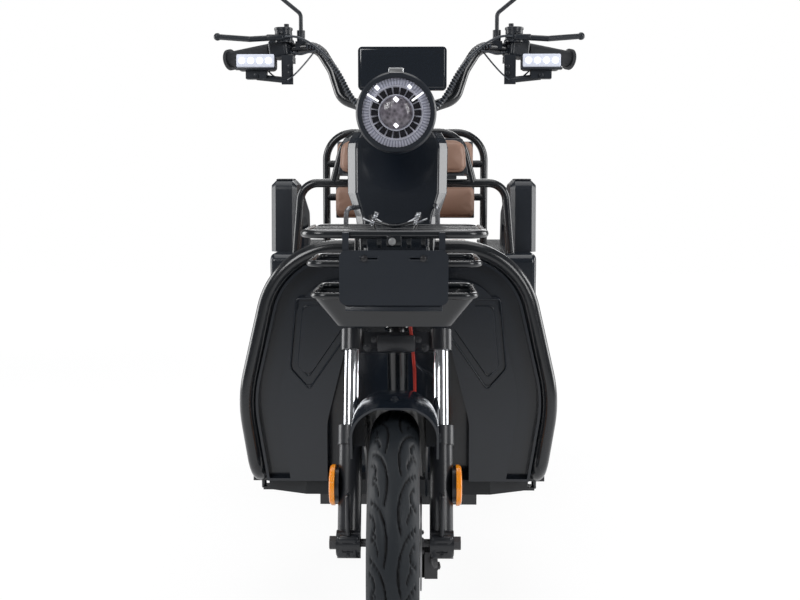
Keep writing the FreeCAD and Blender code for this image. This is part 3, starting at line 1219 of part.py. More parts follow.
for thing in doc.Objects:
    if {"Invalid", "Error"} & set(thing.State):
        raise ValueError(f"{thing.Label} failed: {thing.State}")
os.makedirs(OUT, exist_ok=True)
for name in NODES:
    thing = [o for o in doc.Objects if o.Label == name][0]
    shape = thing.Shape
    if shape.isNull() or not shape.isValid() or not shape.Solids:
        raise ValueError(f"{name} is not a valid solid")
    shape.exportStep(os.path.join(OUT, name + ".step"))
    print(name, len(shape.Solids), round(shape.Volume / 1000), [round(v) for v in (
        shape.BoundBox.XMin, shape.BoundBox.XMax, shape.BoundBox.YMin, shape.BoundBox.YMax, shape.BoundBox.ZMin,
        shape.BoundBox.ZMax)])
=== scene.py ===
import json
import math
import random

import bpy
import numpy as np
from mathutils import Matrix, Vector


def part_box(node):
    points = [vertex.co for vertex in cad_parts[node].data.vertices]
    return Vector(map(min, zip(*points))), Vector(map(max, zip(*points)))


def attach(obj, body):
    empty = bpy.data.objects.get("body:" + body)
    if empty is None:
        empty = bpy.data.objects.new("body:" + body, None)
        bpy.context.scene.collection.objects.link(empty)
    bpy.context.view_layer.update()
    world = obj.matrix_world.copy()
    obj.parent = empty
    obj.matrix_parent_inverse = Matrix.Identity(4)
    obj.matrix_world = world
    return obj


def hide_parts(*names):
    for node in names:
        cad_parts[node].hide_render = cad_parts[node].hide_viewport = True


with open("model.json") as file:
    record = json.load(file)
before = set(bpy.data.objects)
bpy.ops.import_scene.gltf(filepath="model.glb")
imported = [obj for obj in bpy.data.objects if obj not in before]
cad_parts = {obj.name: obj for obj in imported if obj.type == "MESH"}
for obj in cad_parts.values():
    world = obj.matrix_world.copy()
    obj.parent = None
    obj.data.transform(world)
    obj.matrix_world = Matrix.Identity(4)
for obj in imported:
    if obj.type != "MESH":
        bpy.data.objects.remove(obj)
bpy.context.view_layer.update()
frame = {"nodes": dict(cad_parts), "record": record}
nodes = frame["nodes"]
random.seed(7)


class Wire:
    # a value in a node tree, so that masks can be written as sums
    def __init__(self, tree, socket):
        self.tree = tree
        self.socket = socket

    def math(self, operation, first, second=None):
        node = self.tree.nodes.new("ShaderNodeMath")
        node.operation = operation
        for place, value in enumerate((first, second)):
            if value is not None:
                plug(self.tree, node.inputs[place], value)
        return Wire(self.tree, node.outputs[0])

    def __add__(self, other):
        return self.math("ADD", self, other)

    def __radd__(self, other):
        return self.math("ADD", other, self)

    def __sub__(self, other):
        return self.math("SUBTRACT", self, other)

    def __rsub__(self, other):
        return self.math("SUBTRACT", other, self)

    def __mul__(self, other):
        return self.math("MULTIPLY", self, other)

    def __rmul__(self, other):
        return self.math("MULTIPLY", other, self)

    def __truediv__(self, other):
        return self.math("DIVIDE", self, other)

    def __pow__(self, other):
        return self.math("POWER", self, other)

    def __gt__(self, other):
        return self.math("GREATER_THAN", self, other)

    def __lt__(self, other):
        return self.math("LESS_THAN", self, other)

    def __abs__(self):
        return self.math("ABSOLUTE", self)

    def sine(self):
        return self.math("SINE", self)

    def clamped(self):
        return self.math("MAXIMUM", self.math("MINIMUM", self, 1.0), 0.0)


def plug(tree, target, value):
    if isinstance(value, Wire):
        tree.links.new(value.socket, target)
    else:
        target.default_value = value


class Finish:
    # one material: its constants sit on the shader, and what varies is linked in
    def __init__(self, name, colour, roughness, **sockets):
        self.material = bpy.data.materials.new(name)
        self.material.use_nodes = True
        self.tree = self.material.node_tree
        self.shader = self.tree.nodes["Principled BSDF"]
        self.material.diffuse_color = (*colour, 1)
        self.shader.inputs["Base Color"].default_value = (*colour, 1)
        self.shader.inputs["Roughness"].default_value = roughness
        self.colour = colour
        self.roughness = roughness
        for socket, value in sockets.items():
            self.shader.inputs[socket.replace("_", " ")].default_value = value

    def node(self, kind, settings=None, out=0, **sockets):
        node = self.tree.nodes.new("ShaderNode" + kind)
        for key, value in (settings or {}).items():
            if key == "stops":
                for place, (position, shade) in enumerate(value):
                    ramp = node.color_ramp.elements
                    stop = ramp[place] if place < len(ramp) else ramp.new(position)
                    stop.position = position
                    stop.color = (shade, shade, shade, 1)
            else:
                setattr(node, key, value)
        for socket, value in sockets.items():
            plug(self.tree, node.inputs[socket.replace("_", " ")], value)
        return Wire(self.tree, node.outputs[out])

    def place(self):
        return self.node("TexCoord", out=3)

    def axes(self):
        split = self.node("SeparateXYZ", Vector=self.place())
        outputs = split.socket.node.outputs
        return [Wire(self.tree, outputs[axis]) for axis in range(3)]

    def noise(self, scale, detail=3.0, stretch=None):
        where = self.place()
        if stretch:
            where = self.node("Mapping", Vector=where, Scale=stretch)
        return self.node("TexNoise", Vector=where, Scale=scale, Detail=detail, Roughness=0.55)

    def cells(self, scale, feature="F1"):
        return self.node("TexVoronoi", {"feature": feature}, Vector=self.place(), Scale=scale)

    def blend(self, mask, other, base=None):
        mix = self.tree.nodes.new("ShaderNodeMix")
        mix.data_type = "RGBA"
        plug(self.tree, mix.inputs[0], mask)
        mix.inputs[6].default_value = (*self.colour, 1)
        if base:
            plug(self.tree, mix.inputs[6], base)
        mix.inputs[7].default_value = (*other, 1)
        return Wire(self.tree, mix.outputs[2])

    def link(self, socket, value):
        plug(self.tree, self.shader.inputs[socket], value)

    def bump(self, height, strength, distance):
        # several heights are summed before they come here
        node = self.node("Bump", Height=height, Strength=strength, Distance=distance)
        self.link("Normal", node)


def mouldedPlastic(name, colour, roughness, grain=0.0, coat=0.0, dust=0.25):
    finish = Finish(name, colour, roughness, Coat_Weight=coat, Coat_Roughness=0.06)
    cloud = finish.noise(5.0, 4.0)
    fine = finish.noise(900.0, 2.0)
    pale = tuple(min(1.0, value * 1.5 + 0.008) for value in colour)
    finish.link("Base Color", finish.blend((cloud * dust).clamped(), pale))
    finish.link("Roughness", cloud * 0.12 + (roughness - 0.06))
    finish.bump(fine * (0.35 + grain) + cloud * 0.6, 0.12 + grain, 0.0006)
    return finish.material


def paintedTube(name, colour, roughness):
    finish = Finish(name, colour, roughness, Coat_Weight=0.5, Coat_Roughness=0.08)
    peel = finish.noise(420.0, 2.0)
    cloud = finish.noise(9.0, 4.0)
    pale = tuple(value * 1.6 + 0.006 for value in colour)
    finish.link("Base Color", finish.blend((cloud * 0.35).clamped(), pale))
    finish.link("Roughness", cloud * 0.14 + (roughness - 0.05))
    finish.bump(peel, 0.08, 0.0005)
    return finish.material


def metal(name, colour, roughness, brushed=False, cast=False):
    finish = Finish(name, colour, roughness, Metallic=1.0)
    streak = finish.noise(260.0, 3.0, (0.05, 1.0, 1.0) if brushed else None)
    cloud = finish.noise(14.0, 3.0)
    dark = tuple(value * 0.7 for value in colour)
    finish.link("Base Color", finish.blend((cloud * 0.5).clamped(), dark))
    finish.link("Roughness", streak * 0.14 + cloud * 0.08 + (roughness - 0.09))
    finish.bump(streak, 0.25 if cast else 0.05, 0.0006)
    return finish.material


def tyreRubber():
    finish = Finish("TyreRubber", (0.012, 0.016, 0.021), 0.5, Specular_IOR_Level=0.32)
    dust = finish.noise(38.0, 5.0)
    grit = finish.noise(700.0, 3.0)
    groove = finish.node("Attribute", {"attribute_name": "PaintedGrooveShade"}, out=2)
    worn = finish.blend((dust * 0.4).clamped(), (0.03, 0.033, 0.037))
    # the grooves are painted nearly black: painted shade in the recesses of the tread
    finish.link("Base Color", finish.blend(groove.clamped(), (0.002, 0.002, 0.003), worn))
    finish.link("Roughness", dust * 0.25 + groove * 0.2 + 0.4)
    finish.bump(grit, 0.22, 0.0006)
    return finish.material


def seatLeather():
    finish = Finish("SeatLeather", (0.3, 0.175, 0.125), 0.46)
    grain = finish.cells(720.0)
    crease = finish.noise(60.0, 5.0)
    wear = finish.noise(8.0, 3.0)
    finish.link("Base Color", finish.blend((wear * 0.45).clamped(), (0.38, 0.235, 0.175)))
    finish.link("Roughness", crease * 0.2 + 0.36)
    finish.bump(grain * 0.8 + crease * 0.5, 0.28, 0.0007)
    return finish.material


def corrugatedSleeve():
    finish = Finish("CorrugatedSleeve", (0.004, 0.005, 0.007), 0.3, Coat_Weight=0.4, Coat_Roughness=0.1)
    ridgeHighlight = finish.node("Attribute", {"attribute_name": "PaintedRidgeHighlight"}, out=2)
    # the ridges are painted pale as painted highlights and the valleys near black as painted shade
    finish.link("Base Color", finish.blend((ridgeHighlight * ridgeHighlight).clamped(), (0.09, 0.105, 0.13)))
    finish.link("Roughness", finish.noise(60.0) * 0.15 + 0.22)
    return finish.material


def lampGlass(name, tint, roughness=0.03):
    finish = Finish(name, tint, roughness, Transmission_Weight=1.0, IOR=1.35, Alpha=0.35)
    finish.link("Roughness", finish.noise(30.0) * 0.04 + roughness)
    return finish.material


def glowing(name, colour, strength):
    finish = Finish(name, colour, 0.3, Emission_Color=(*colour, 1), Emission_Strength=strength)
    finish.link("Roughness", finish.noise(120.0) * 0.2 + 0.2)
    return finish.material


def colouredLens(name, colour, shade=0.55, glow=0.0):
    finish = Finish(name, colour, 0.16, Coat_Weight=1.0, Coat_Roughness=0.03, Emission_Color=(*colour, 1),
                    Emission_Strength=glow)
    facets = finish.cells(420.0)
    dark = tuple(value * shade for value in colour)
    finish.link("Base Color", finish.blend((facets * 1.2).clamped(), dark))
    finish.bump(facets, 0.5, 0.0012)
    return finish.material


finishes = {
    "tyre": tyreRubber(),
    "rim_paint": paintedTube("WheelPaint", (0.009, 0.01, 0.013), 0.3),
    "bright_steel": metal("GroundSteel", (0.56, 0.57, 0.58), 0.3, brushed=True),
    "chrome_tube": metal("HardChrome", (0.82, 0.84, 0.88), 0.1),
    "fork_paint": mouldedPlastic("ForkPaint", (0.016, 0.018, 0.023), 0.36, 0.1, 0.3),
    "gloss_cover": mouldedPlastic("GlossCover", (0.007, 0.011, 0.018), 0.22, 0.0, 0.35),
    "satin_cover": mouldedPlastic("SatinCover", (0.009, 0.013, 0.02), 0.32, 0.1, 0.1),
    # the amber lens glows faintly: a painted glow on the fork reflectors, which are no lamps
    "amber": colouredLens("AmberLens", (1.0, 0.33, 0.01), 0.8, 0.3),
    "cast_metal": metal("CastMetal", (0.12, 0.12, 0.125), 0.5, cast=True),
    "black_tube": paintedTube("BlackTube", (0.006, 0.008, 0.011), 0.24),
    "grip_rubber": mouldedPlastic("GripRubber", (0.017, 0.019, 0.023), 0.55, 0.3),
    "satin_black": mouldedPlastic("SatinBlack", (0.011, 0.015, 0.022), 0.36, 0.15, 0.1),
    "clear_lens": lampGlass("ClearLens", (0.95, 0.96, 1.0)),
    "cable_wrap": mouldedPlastic("CableWrap", (0.04, 0.048, 0.06), 0.24, 0.05, 0.5),
    "display_glass": mouldedPlastic("DisplayPanel", (0.007, 0.012, 0.02), 0.16, 0.0, 0.8, 0.1),
    "floor_plastic": mouldedPlastic("FloorPlastic", (0.016, 0.018, 0.021), 0.55, 0.4),
    "battery_case": mouldedPlastic("BatteryCase", (0.04, 0.04, 0.045), 0.5, 0.3),
    "brown_leather": seatLeather(),
    "box_paint": paintedTube("BoxPaint", (0.012, 0.014, 0.018), 0.36),
    "red_lamp": colouredLens("RedLens", (0.5, 0.012, 0.012)),
}

slotOf = {part["node"]: part["material_slot"] for part in frame["record"]["subparts"]}
for nodeName, nodeObject in nodes.items():
    nodeObject.data.materials.clear()
    nodeObject.data.materials.append(finishes[slotOf[nodeName]])
print("stage: CAD nodes have their finishes")

def stageAndLight():
    values = {"floorSize": 14.0, "white": 1.05}
    bpy.ops.object.select_all(action="DESELECT")
    bpy.ops.mesh.primitive_plane_add(size=values["floorSize"], location=(0, 0, 0))
    floor = bpy.context.object
    floor.name = "Floor"
    bpy.ops.object.mode_set(mode="EDIT")
    bpy.ops.mesh.subdivide(number_cuts=4)
    bpy.ops.object.mode_set(mode="OBJECT")
    finish = Finish("PaleFloor", (0.82, 0.82, 0.83), 0.7)
    finish.link("Roughness", finish.noise(3.0) * 0.1 + 0.65)
    tree = finish.tree
    glow = tree.nodes.new("ShaderNodeEmission")
    glow.inputs["Strength"].default_value = values["white"]
    glow.inputs["Color"].default_value = (1, 1, 1, 1)
    rays = tree.nodes.new("ShaderNodeLightPath")
    seen = Wire(tree, rays.outputs["Is Camera Ray"])
    glossy = Wire(tree, rays.outputs["Is Glossy Ray"])
    through = Wire(tree, rays.outputs["Is Transmission Ray"])
    mix = tree.nodes.new("ShaderNodeMixShader")
    across, along, _ = finish.axes()
    far = ((across * across + along * along) * 0.06 - 0.25).clamped()    # the shadow is kept near the wheels
    plug(tree, mix.inputs[0], seen * (far * 0.13 + 0.87) + (glossy + through).clamped() * 0.2)
    tree.links.new(finish.shader.outputs[0], mix.inputs[1])
    tree.links.new(glow.outputs[0], mix.inputs[2])
    tree.links.new(mix.outputs[0], tree.nodes["Material Output"].inputs["Surface"])
    floor.data.materials.append(finish.material)

    world = bpy.data.worlds.new("StudioAir")
    bpy.context.scene.world = world
    world.use_nodes = True
    sky = world.node_tree
    back = sky.nodes["Background"]
    back.inputs["Color"].default_value = (1, 1, 1, 1)
    rays = sky.nodes.new("ShaderNodeLightPath")
    seen = Wire(sky, rays.outputs["Is Camera Ray"])
    through = Wire(sky, rays.outputs["Is Transmission Ray"])
    glossy = Wire(sky, rays.outputs["Is Glossy Ray"])
    plug(sky, back.inputs["Strength"], ((seen + through).clamped() * 0.88 + glossy * 0.02 + 0.12))

    lamps = [
        ("KeyLight", (-1.9, -3.2, 2.7), (1.5, 1.6), 50),
        ("FillLight", (2.3, -2.9, 1.9), (1.1, 2.0), 33),
        ("TopLight", (0.0, 0.2, 3.4), (2.6, 3.4), 44),
        ("RearLight", (0.4, 3.4, 2.3), (2.4, 1.4), 36),
        ("LeftStrip", (-2.7, 0.45, 1.15), (1.5, 1.9), 40),
        ("RightStrip", (2.7, 0.45, 1.15), (1.5, 1.9), 40),
    ]
    for name, where, size, power in lamps:
        bpy.ops.object.light_add(type="AREA", location=where)
        lamp = bpy.context.object
        lamp.name = name
        lamp.data.shape = "RECTANGLE"
        lamp.data.size, lamp.data.size_y = size
        lamp.data.energy = power
        aim = Vector((0, 0, 0.6)) - Vector(where)
        lamp.rotation_euler = aim.to_track_quat("-Z", "Y").to_euler()


def placeCamera():
    low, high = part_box("front_tyre")
    axleY = (low[1] + high[1]) / 2
    values = {"ahead": 1.85, "across": 0.038, "height": 0.859, "tilt": 6.437, "turn": 0.915, "lens": 49.86}
    bpy.ops.object.camera_add(location=(values["across"], axleY - values["ahead"], values["height"]),
                              rotation=(math.radians(90 - values["tilt"]), 0, math.radians(values["turn"])))
    camera = bpy.context.object
    camera.data.lens = values["lens"]
    camera.data.sensor_width = 36
    camera.data.clip_end = 60
    bpy.context.scene.camera = camera


stageAndLight()
placeCamera()
bpy.context.scene.view_settings.view_transform = "Standard"
print("stage: floor, lights and camera are set")

def mm(x, y, z):
    return Vector((x, y, z)) / 1000


def clearPick():
    bpy.ops.object.select_all(action="DESELECT")


def makeActive(piece):
    clearPick()
    piece.select_set(True)
    bpy.context.view_layer.objects.active = piece


def editFaces(piece, test):
    # enters edit mode with the faces that the test picks
    makeActive(piece)
    bpy.context.tool_settings.mesh_select_mode = (False, False, True)
    for item in (*piece.data.vertices, *piece.data.edges):
        item.select = False
    for face in piece.data.polygons:
        face.select = bool(test(face.center, face.normal))
    bpy.ops.object.mode_set(mode="EDIT")


def editAll(piece):
    makeActive(piece)
    bpy.ops.object.mode_set(mode="EDIT")
    bpy.ops.mesh.select_all(action="SELECT")


def leaveEdit():
    bpy.ops.object.mode_set(mode="OBJECT")


def applyPlace(piece):
    makeActive(piece)
    bpy.ops.object.transform_apply(location=True, rotation=True, scale=True)


def roundedBox(low, high, bevel=0.0015, segments=2, turn=(0, 0, 0)):
    low, high = Vector(low), Vector(high)
    clearPick()
    bpy.ops.mesh.primitive_cube_add(size=1, location=(0, 0, 0))
    piece = bpy.context.object
    piece.scale = high - low
    applyPlace(piece)
    editAll(piece)
    bpy.ops.mesh.bevel(offset=bevel, segments=segments, affect="EDGES")
    leaveEdit()
    piece.rotation_euler = turn
    piece.location = (low + high) / 2
    applyPlace(piece)
    return piece


def turnedPiece(centre, direction, radius, depth, steps, sides=32):
    # a short cylinder whose front face is inset and pushed step by step
    direction = Vector(direction).normalized()
    clearPick()
    bpy.ops.mesh.primitive_cylinder_add(vertices=sides, radius=radius, depth=depth)
    piece = bpy.context.object
    piece.rotation_euler = direction.to_track_quat("Z", "Y").to_euler()
    piece.location = centre
    applyPlace(piece)
    editFaces(piece, lambda middle, normal: normal.dot(direction) > 0.99)
    for thickness, push in steps:
        bpy.ops.mesh.inset(thickness=thickness, depth=push)
    leaveEdit()
    return piece


def tubeAlong(points, radius, smooth=True, closed=False, sides=3):
    data = bpy.data.curves.new("Run", "CURVE")
    data.dimensions = "3D"
    data.bevel_depth = radius
    data.bevel_resolution = sides
    data.use_fill_caps = not closed
    spline = data.splines.new("NURBS" if smooth else "POLY")
    spline.points.add(len(points) - 1)
    for place, point in enumerate(points):
        spline.points[place].co = (*point, 1)
    if smooth:
        spline.order_u = 3
        spline.use_endpoint_u = not closed
        spline.resolution_u = 8
    spline.use_cyclic_u = closed
    piece = bpy.data.objects.new("Run", data)
    bpy.context.collection.objects.link(piece)
    makeActive(piece)
    bpy.ops.object.convert(target="MESH")
    return bpy.context.object


def smoothLine(points, step):
    # places a set distance apart along one smooth curve through the route
    data = bpy.data.curves.new("Route", "CURVE")
    data.dimensions = "3D"
    spline = data.splines.new("NURBS")
    spline.points.add(len(points) - 1)
    for place, point in enumerate(points):
        spline.points[place].co = (*point, 1)
    spline.order_u = 3
    spline.use_endpoint_u = True
    spline.resolution_u = 24
    holder = bpy.data.objects.new("Route", data)
    bpy.context.collection.objects.link(holder)
    route = bpy.data.meshes.new_from_object(holder)
    line = np.array([vertex.co[:] for vertex in route.vertices])
    bpy.data.objects.remove(holder)
    run = np.concatenate([[0], np.cumsum(np.linalg.norm(np.diff(line, axis=0), axis=1))])
    count = max(2, round(run[-1] / step))
    places = np.linspace(0, run[-1], count + 1)
    return [Vector([np.interp(place, run, line[:, axis]) for axis in range(3)]) for place in places]


def copyOf(piece):
    other = piece.copy()
    other.data = piece.data.copy()
    bpy.context.collection.objects.link(other)
    return other


def moved(piece, shift, turn=None, about=None):
    matrix = Matrix.Translation(shift)
    if turn:
        pivot = Vector(about or (0, 0, 0))
        matrix = matrix @ Matrix.Translation(pivot) @ turn @ Matrix.Translation(-pivot)
    piece.data.transform(matrix)
    return piece


def mirroredPair(piece):
    other = copyOf(piece)
    other.scale = (-1, 1, 1)
    applyPlace(other)
    return joined([piece, other])


def joined(pieces):
    clearPick()
    for piece in pieces:
        piece.select_set(True)
    bpy.context.view_layer.objects.active = pieces[0]
    if len(pieces) > 1:
        bpy.ops.object.join()
    return bpy.context.view_layer.objects.active


def settle(piece, name, finish, body, stands=(), angle=35):
    applyPlace(piece)
    editAll(piece)
    bpy.ops.mesh.remove_doubles(threshold=1e-6)
    bpy.ops.mesh.normals_make_consistent(inside=False)
    leaveEdit()
    makeActive(piece)
    bpy.ops.object.shade_smooth_by_angle(angle=math.radians(angle))
    piece.name = name
    piece.data.name = name
    piece.data.materials.clear()
    piece.data.materials.append(finish)
    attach(piece, body)
    if stands:
        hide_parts(*stands)
    return piece


def hexBolt(place, direction, size):
    # a hexagon head on a washer, with a small dome of thread
    direction = Vector(direction).normalized()
    place = Vector(place)
    washer = turnedPiece(place + direction * size * 0.1, direction, size * 1.05, size * 0.2, [(size * 0.15, 0)],
                         20)
    head = turnedPiece(place + direction * size * 0.45, direction, size * 0.85, size * 0.5,
                       [(size * 0.12, size * 0.06), (size * 0.3, 0), (size * 0.05, size * 0.15)], 6)
    return joined([washer, head])


def cutTread(piece, centre, values):
    # moves the crown inwards along crescent grooves, mirrored and half a pitch apart on the two sides
    count = len(piece.data.vertices)
    places = np.zeros(count * 3)
    piece.data.vertices.foreach_get("co", places)
    places = places.reshape(-1, 3) - np.array(centre)
    radial = np.hypot(places[:, 1], places[:, 2])
    turn = np.arctan2(places[:, 2], places[:, 1])
    middle, tube = values["middle"], values["tube"]
    lean = np.arctan2(places[:, 0], radial - middle)
    across = lean * tube * 1000
    pitch = 2 * math.pi * values["outer"] * 1000 / values["repeats"]
    along = (turn / (2 * math.pi) * values["repeats"] * pitch)
    depth = np.zeros(count)
    for side in (-1, 1):
        shift = pitch / 2 if side > 0 else 0
        local = np.mod((along + shift), pitch)
        for groove in values["grooves"]:
            line = np.array(groove["line"], float)
            for start, end in zip(line, line[1:]):
                for lap in (-2, -1, 0, 1):
                    first = np.array([start[0] + lap * pitch, start[1] * side])
                    span = np.array([end[0] - start[0], (end[1] - start[1]) * side])
                    offset = np.stack([local - first[0], across - first[1]], axis=1)
                    share = np.clip(offset @ span / (span @ span), 0, 1)
                    gap = np.linalg.norm(offset - share[:, None] * span, axis=1)
                    wall = np.clip((groove["half"] + 0.55 - gap) / 1.1, 0, 1)
                    depth = np.maximum(depth, groove["deep"] * wall)
    shoulder = np.exp(-((np.abs(across) - values["ridge"]) / 1.2) ** 2) * -0.6
    tubeNow = tube - (depth + shoulder * (depth < 0.1)) / 1000
    tubeNow = np.minimum(tubeNow, tube)
    newRadial = middle + tubeNow * np.cos(lean)
    newAcross = tubeNow * np.sin(lean)
    seat = values["seat"]
    newRadial = np.maximum(newRadial, seat)
    places[:, 0] = newAcross
    scale = newRadial / radial
    places[:, 1] *= scale
    places[:, 2] *= scale
    piece.data.vertices.foreach_set("co", (places + np.array(centre)).ravel())
    # the groove depth is kept as a mark for the painted shade in the grooves
    marks = piece.data.attributes.new("PaintedGrooveShade", "FLOAT", "POINT")
    marks.data.foreach_set("value", np.clip(depth / 2.4, 0, 1))
    piece.data.update()


def makeTyre(node, name, body, around, aroundTube):
    low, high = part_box(node)
    centre = (low + high) / 2
    outer, tube = (high.z - low.z) / 2, (high.x - low.x) / 2
    values = {
        "outer": outer, "tube": tube, "middle": outer - tube, "seat": 0.1559, "repeats": 15, "ridge": 47,
        "grooves": [
            {"line": [(0, 42), (9, 30), (22, 20), (40, 13), (62, 9.5), (86, 10), (106, 14)], "half": 1.35,
             "deep": 3.6},
            {"line": [(26, 41), (31, 34), (40, 30), (50, 31), (58, 37)], "half": 1.25, "deep": 3.2},
            {"line": [(62, 43), (66, 33), (76, 26), (88, 24)], "half": 1.2, "deep": 3.0},
            {"line": [(66, 34), (60, 29)], "half": 1.1, "deep": 2.6},
        ],
    }
    clearPick()
    bpy.ops.mesh.primitive_torus_add(major_segments=around, minor_segments=aroundTube, location=centre,
                                     rotation=(0, math.pi / 2, 0), major_radius=values["middle"],
                                     minor_radius=tube)
    piece = bpy.context.object
    applyPlace(piece)
    cutTread(piece, centre, values)
    settle(piece, name, finishes["tyre"], body, (node,), 50)


makeTyre("front_tyre", "FrontTyre", "front_wheel", 800, 120)
makeTyre("rear_tyre_left", "RearTyreLeft", "rear_wheel_left", 420, 72)
makeTyre("rear_tyre_right", "RearTyreRight", "rear_wheel_right", 420, 72)
print("stage: tyres are cut")

def inflate(piece, values):
    # pressure for twenty frames, with how far a point may move capped
    rest = np.array([vertex.co[:] for vertex in piece.data.vertices])
    group = piece.vertex_groups.new(name="Held")
    axis, level = values["heldAxis"], values["heldLevel"]
    held = [i for i, place in enumerate(rest) if (place[axis] - level) * values["heldSign"] < 0.004]
    group.add(held, 1.0, "REPLACE")
    makeActive(piece)
    cloth = piece.modifiers.new("Puff", "CLOTH")
    cloth.settings.quality = 6
    cloth.settings.mass = 0.25
    cloth.settings.tension_stiffness = 22
    cloth.settings.compression_stiffness = 22
    cloth.settings.shear_stiffness = 9
    cloth.settings.bending_stiffness = 0.8
    cloth.settings.use_pressure = True
    cloth.settings.uniform_pressure_force = values["pressure"]
    cloth.settings.vertex_group_mass = "Held"
    cloth.settings.effector_weights.gravity = 0
    cloth.point_cache.frame_start = 1
    cloth.point_cache.frame_end = 20
    scene = bpy.context.scene
    for frameNumber in range(1, 21):
        scene.frame_set(frameNumber)
    graph = bpy.context.evaluated_depsgraph_get()
    shown = piece.evaluated_get(graph).to_mesh()
    blown = np.array([vertex.co[:] for vertex in shown.vertices])
    piece.evaluated_get(graph).to_mesh_clear()
    piece.modifiers.remove(cloth)
    scene.frame_set(1)
    step = blown - rest
    length = np.linalg.norm(step, axis=1)
    cap = values["cap"]
    step *= (np.minimum(length, cap) / np.maximum(length, 1e-9))[:, None]
    piece.data.vertices.foreach_set("co", (rest + step).ravel())
    piece.data.update()


def pressSeams(piece, seams, normalAxis):
    # a sewn line is a narrow valley with a slight roll beside it
    count = len(piece.data.vertices)
    places = np.zeros(count * 3)
    normals = np.zeros(count * 3)
    piece.data.vertices.foreach_get("co", places)
    piece.data.vertices.foreach_get("normal", normals)
    places, normals = places.reshape(-1, 3), normals.reshape(-1, 3)
    for seam in seams:
        away = np.abs(places[:, seam["axis"]] - seam["at"])
        facing = np.ones(count)
        if seam.get("only"):
            facing = np.clip(normals[:, normalAxis] * seam["only"], 0, 1)
        valley = np.exp(-(away / 0.0022) ** 2) * seam["deep"]
        roll = np.exp(-((away - 0.0055) / 0.0028) ** 2) * seam["deep"] * 0.35
        places -= normals * ((valley - roll) * facing)[:, None]
    piece.data.vertices.foreach_set("co", places.ravel())
    piece.data.update()


def makeCushion(name, low, high, body, stands, values):
    low, high = Vector(low), Vector(high)
    shrink = Vector(values["shrink"])
    piece = roundedBox(low + shrink, high - shrink, values["round"], 4)
    centre = (low + high) / 2
    half = (high - low) / 2
    if values.get("taper"):
        for vertex in piece.data.vertices:    # the upper corners of a back pad are drawn in
            rise = max(0.0, (vertex.co.z - centre.z) / half.z)
            vertex.co.x -= (vertex.co.x - centre.x) * values["taper"] * rise ** 2
    makeActive(piece)
    piece.data.remesh_voxel_size = values["voxel"]
    bpy.ops.object.voxel_remesh()
    inflate(piece, values)
    places = np.array([vertex.co[:] for vertex in piece.data.vertices])
    for axis in range(3):    # the cover can't reach past what it is sewn to
        places[:, axis] = np.clip(places[:, axis], low[axis] - values["proud"][axis],
                                  high[axis] + values["proud"][axis])
    held = values["heldAxis"]
    if values["heldSign"] > 0:
        places[:, held] = np.maximum(places[:, held], low[held])
    else:
        places[:, held] = np.minimum(places[:, held], high[held])
    piece.data.vertices.foreach_set("co", places.ravel())
    makeActive(piece)
    rounding = piece.modifiers.new("Rounding", "SUBSURF")
    rounding.levels = rounding.render_levels = 1
    bpy.ops.object.modifier_apply(modifier="Rounding")
    pressSeams(piece, values["seams"], values["faceAxis"])
    settle(piece, name, finishes["brown_leather"], body, stands, 60)
    return piece


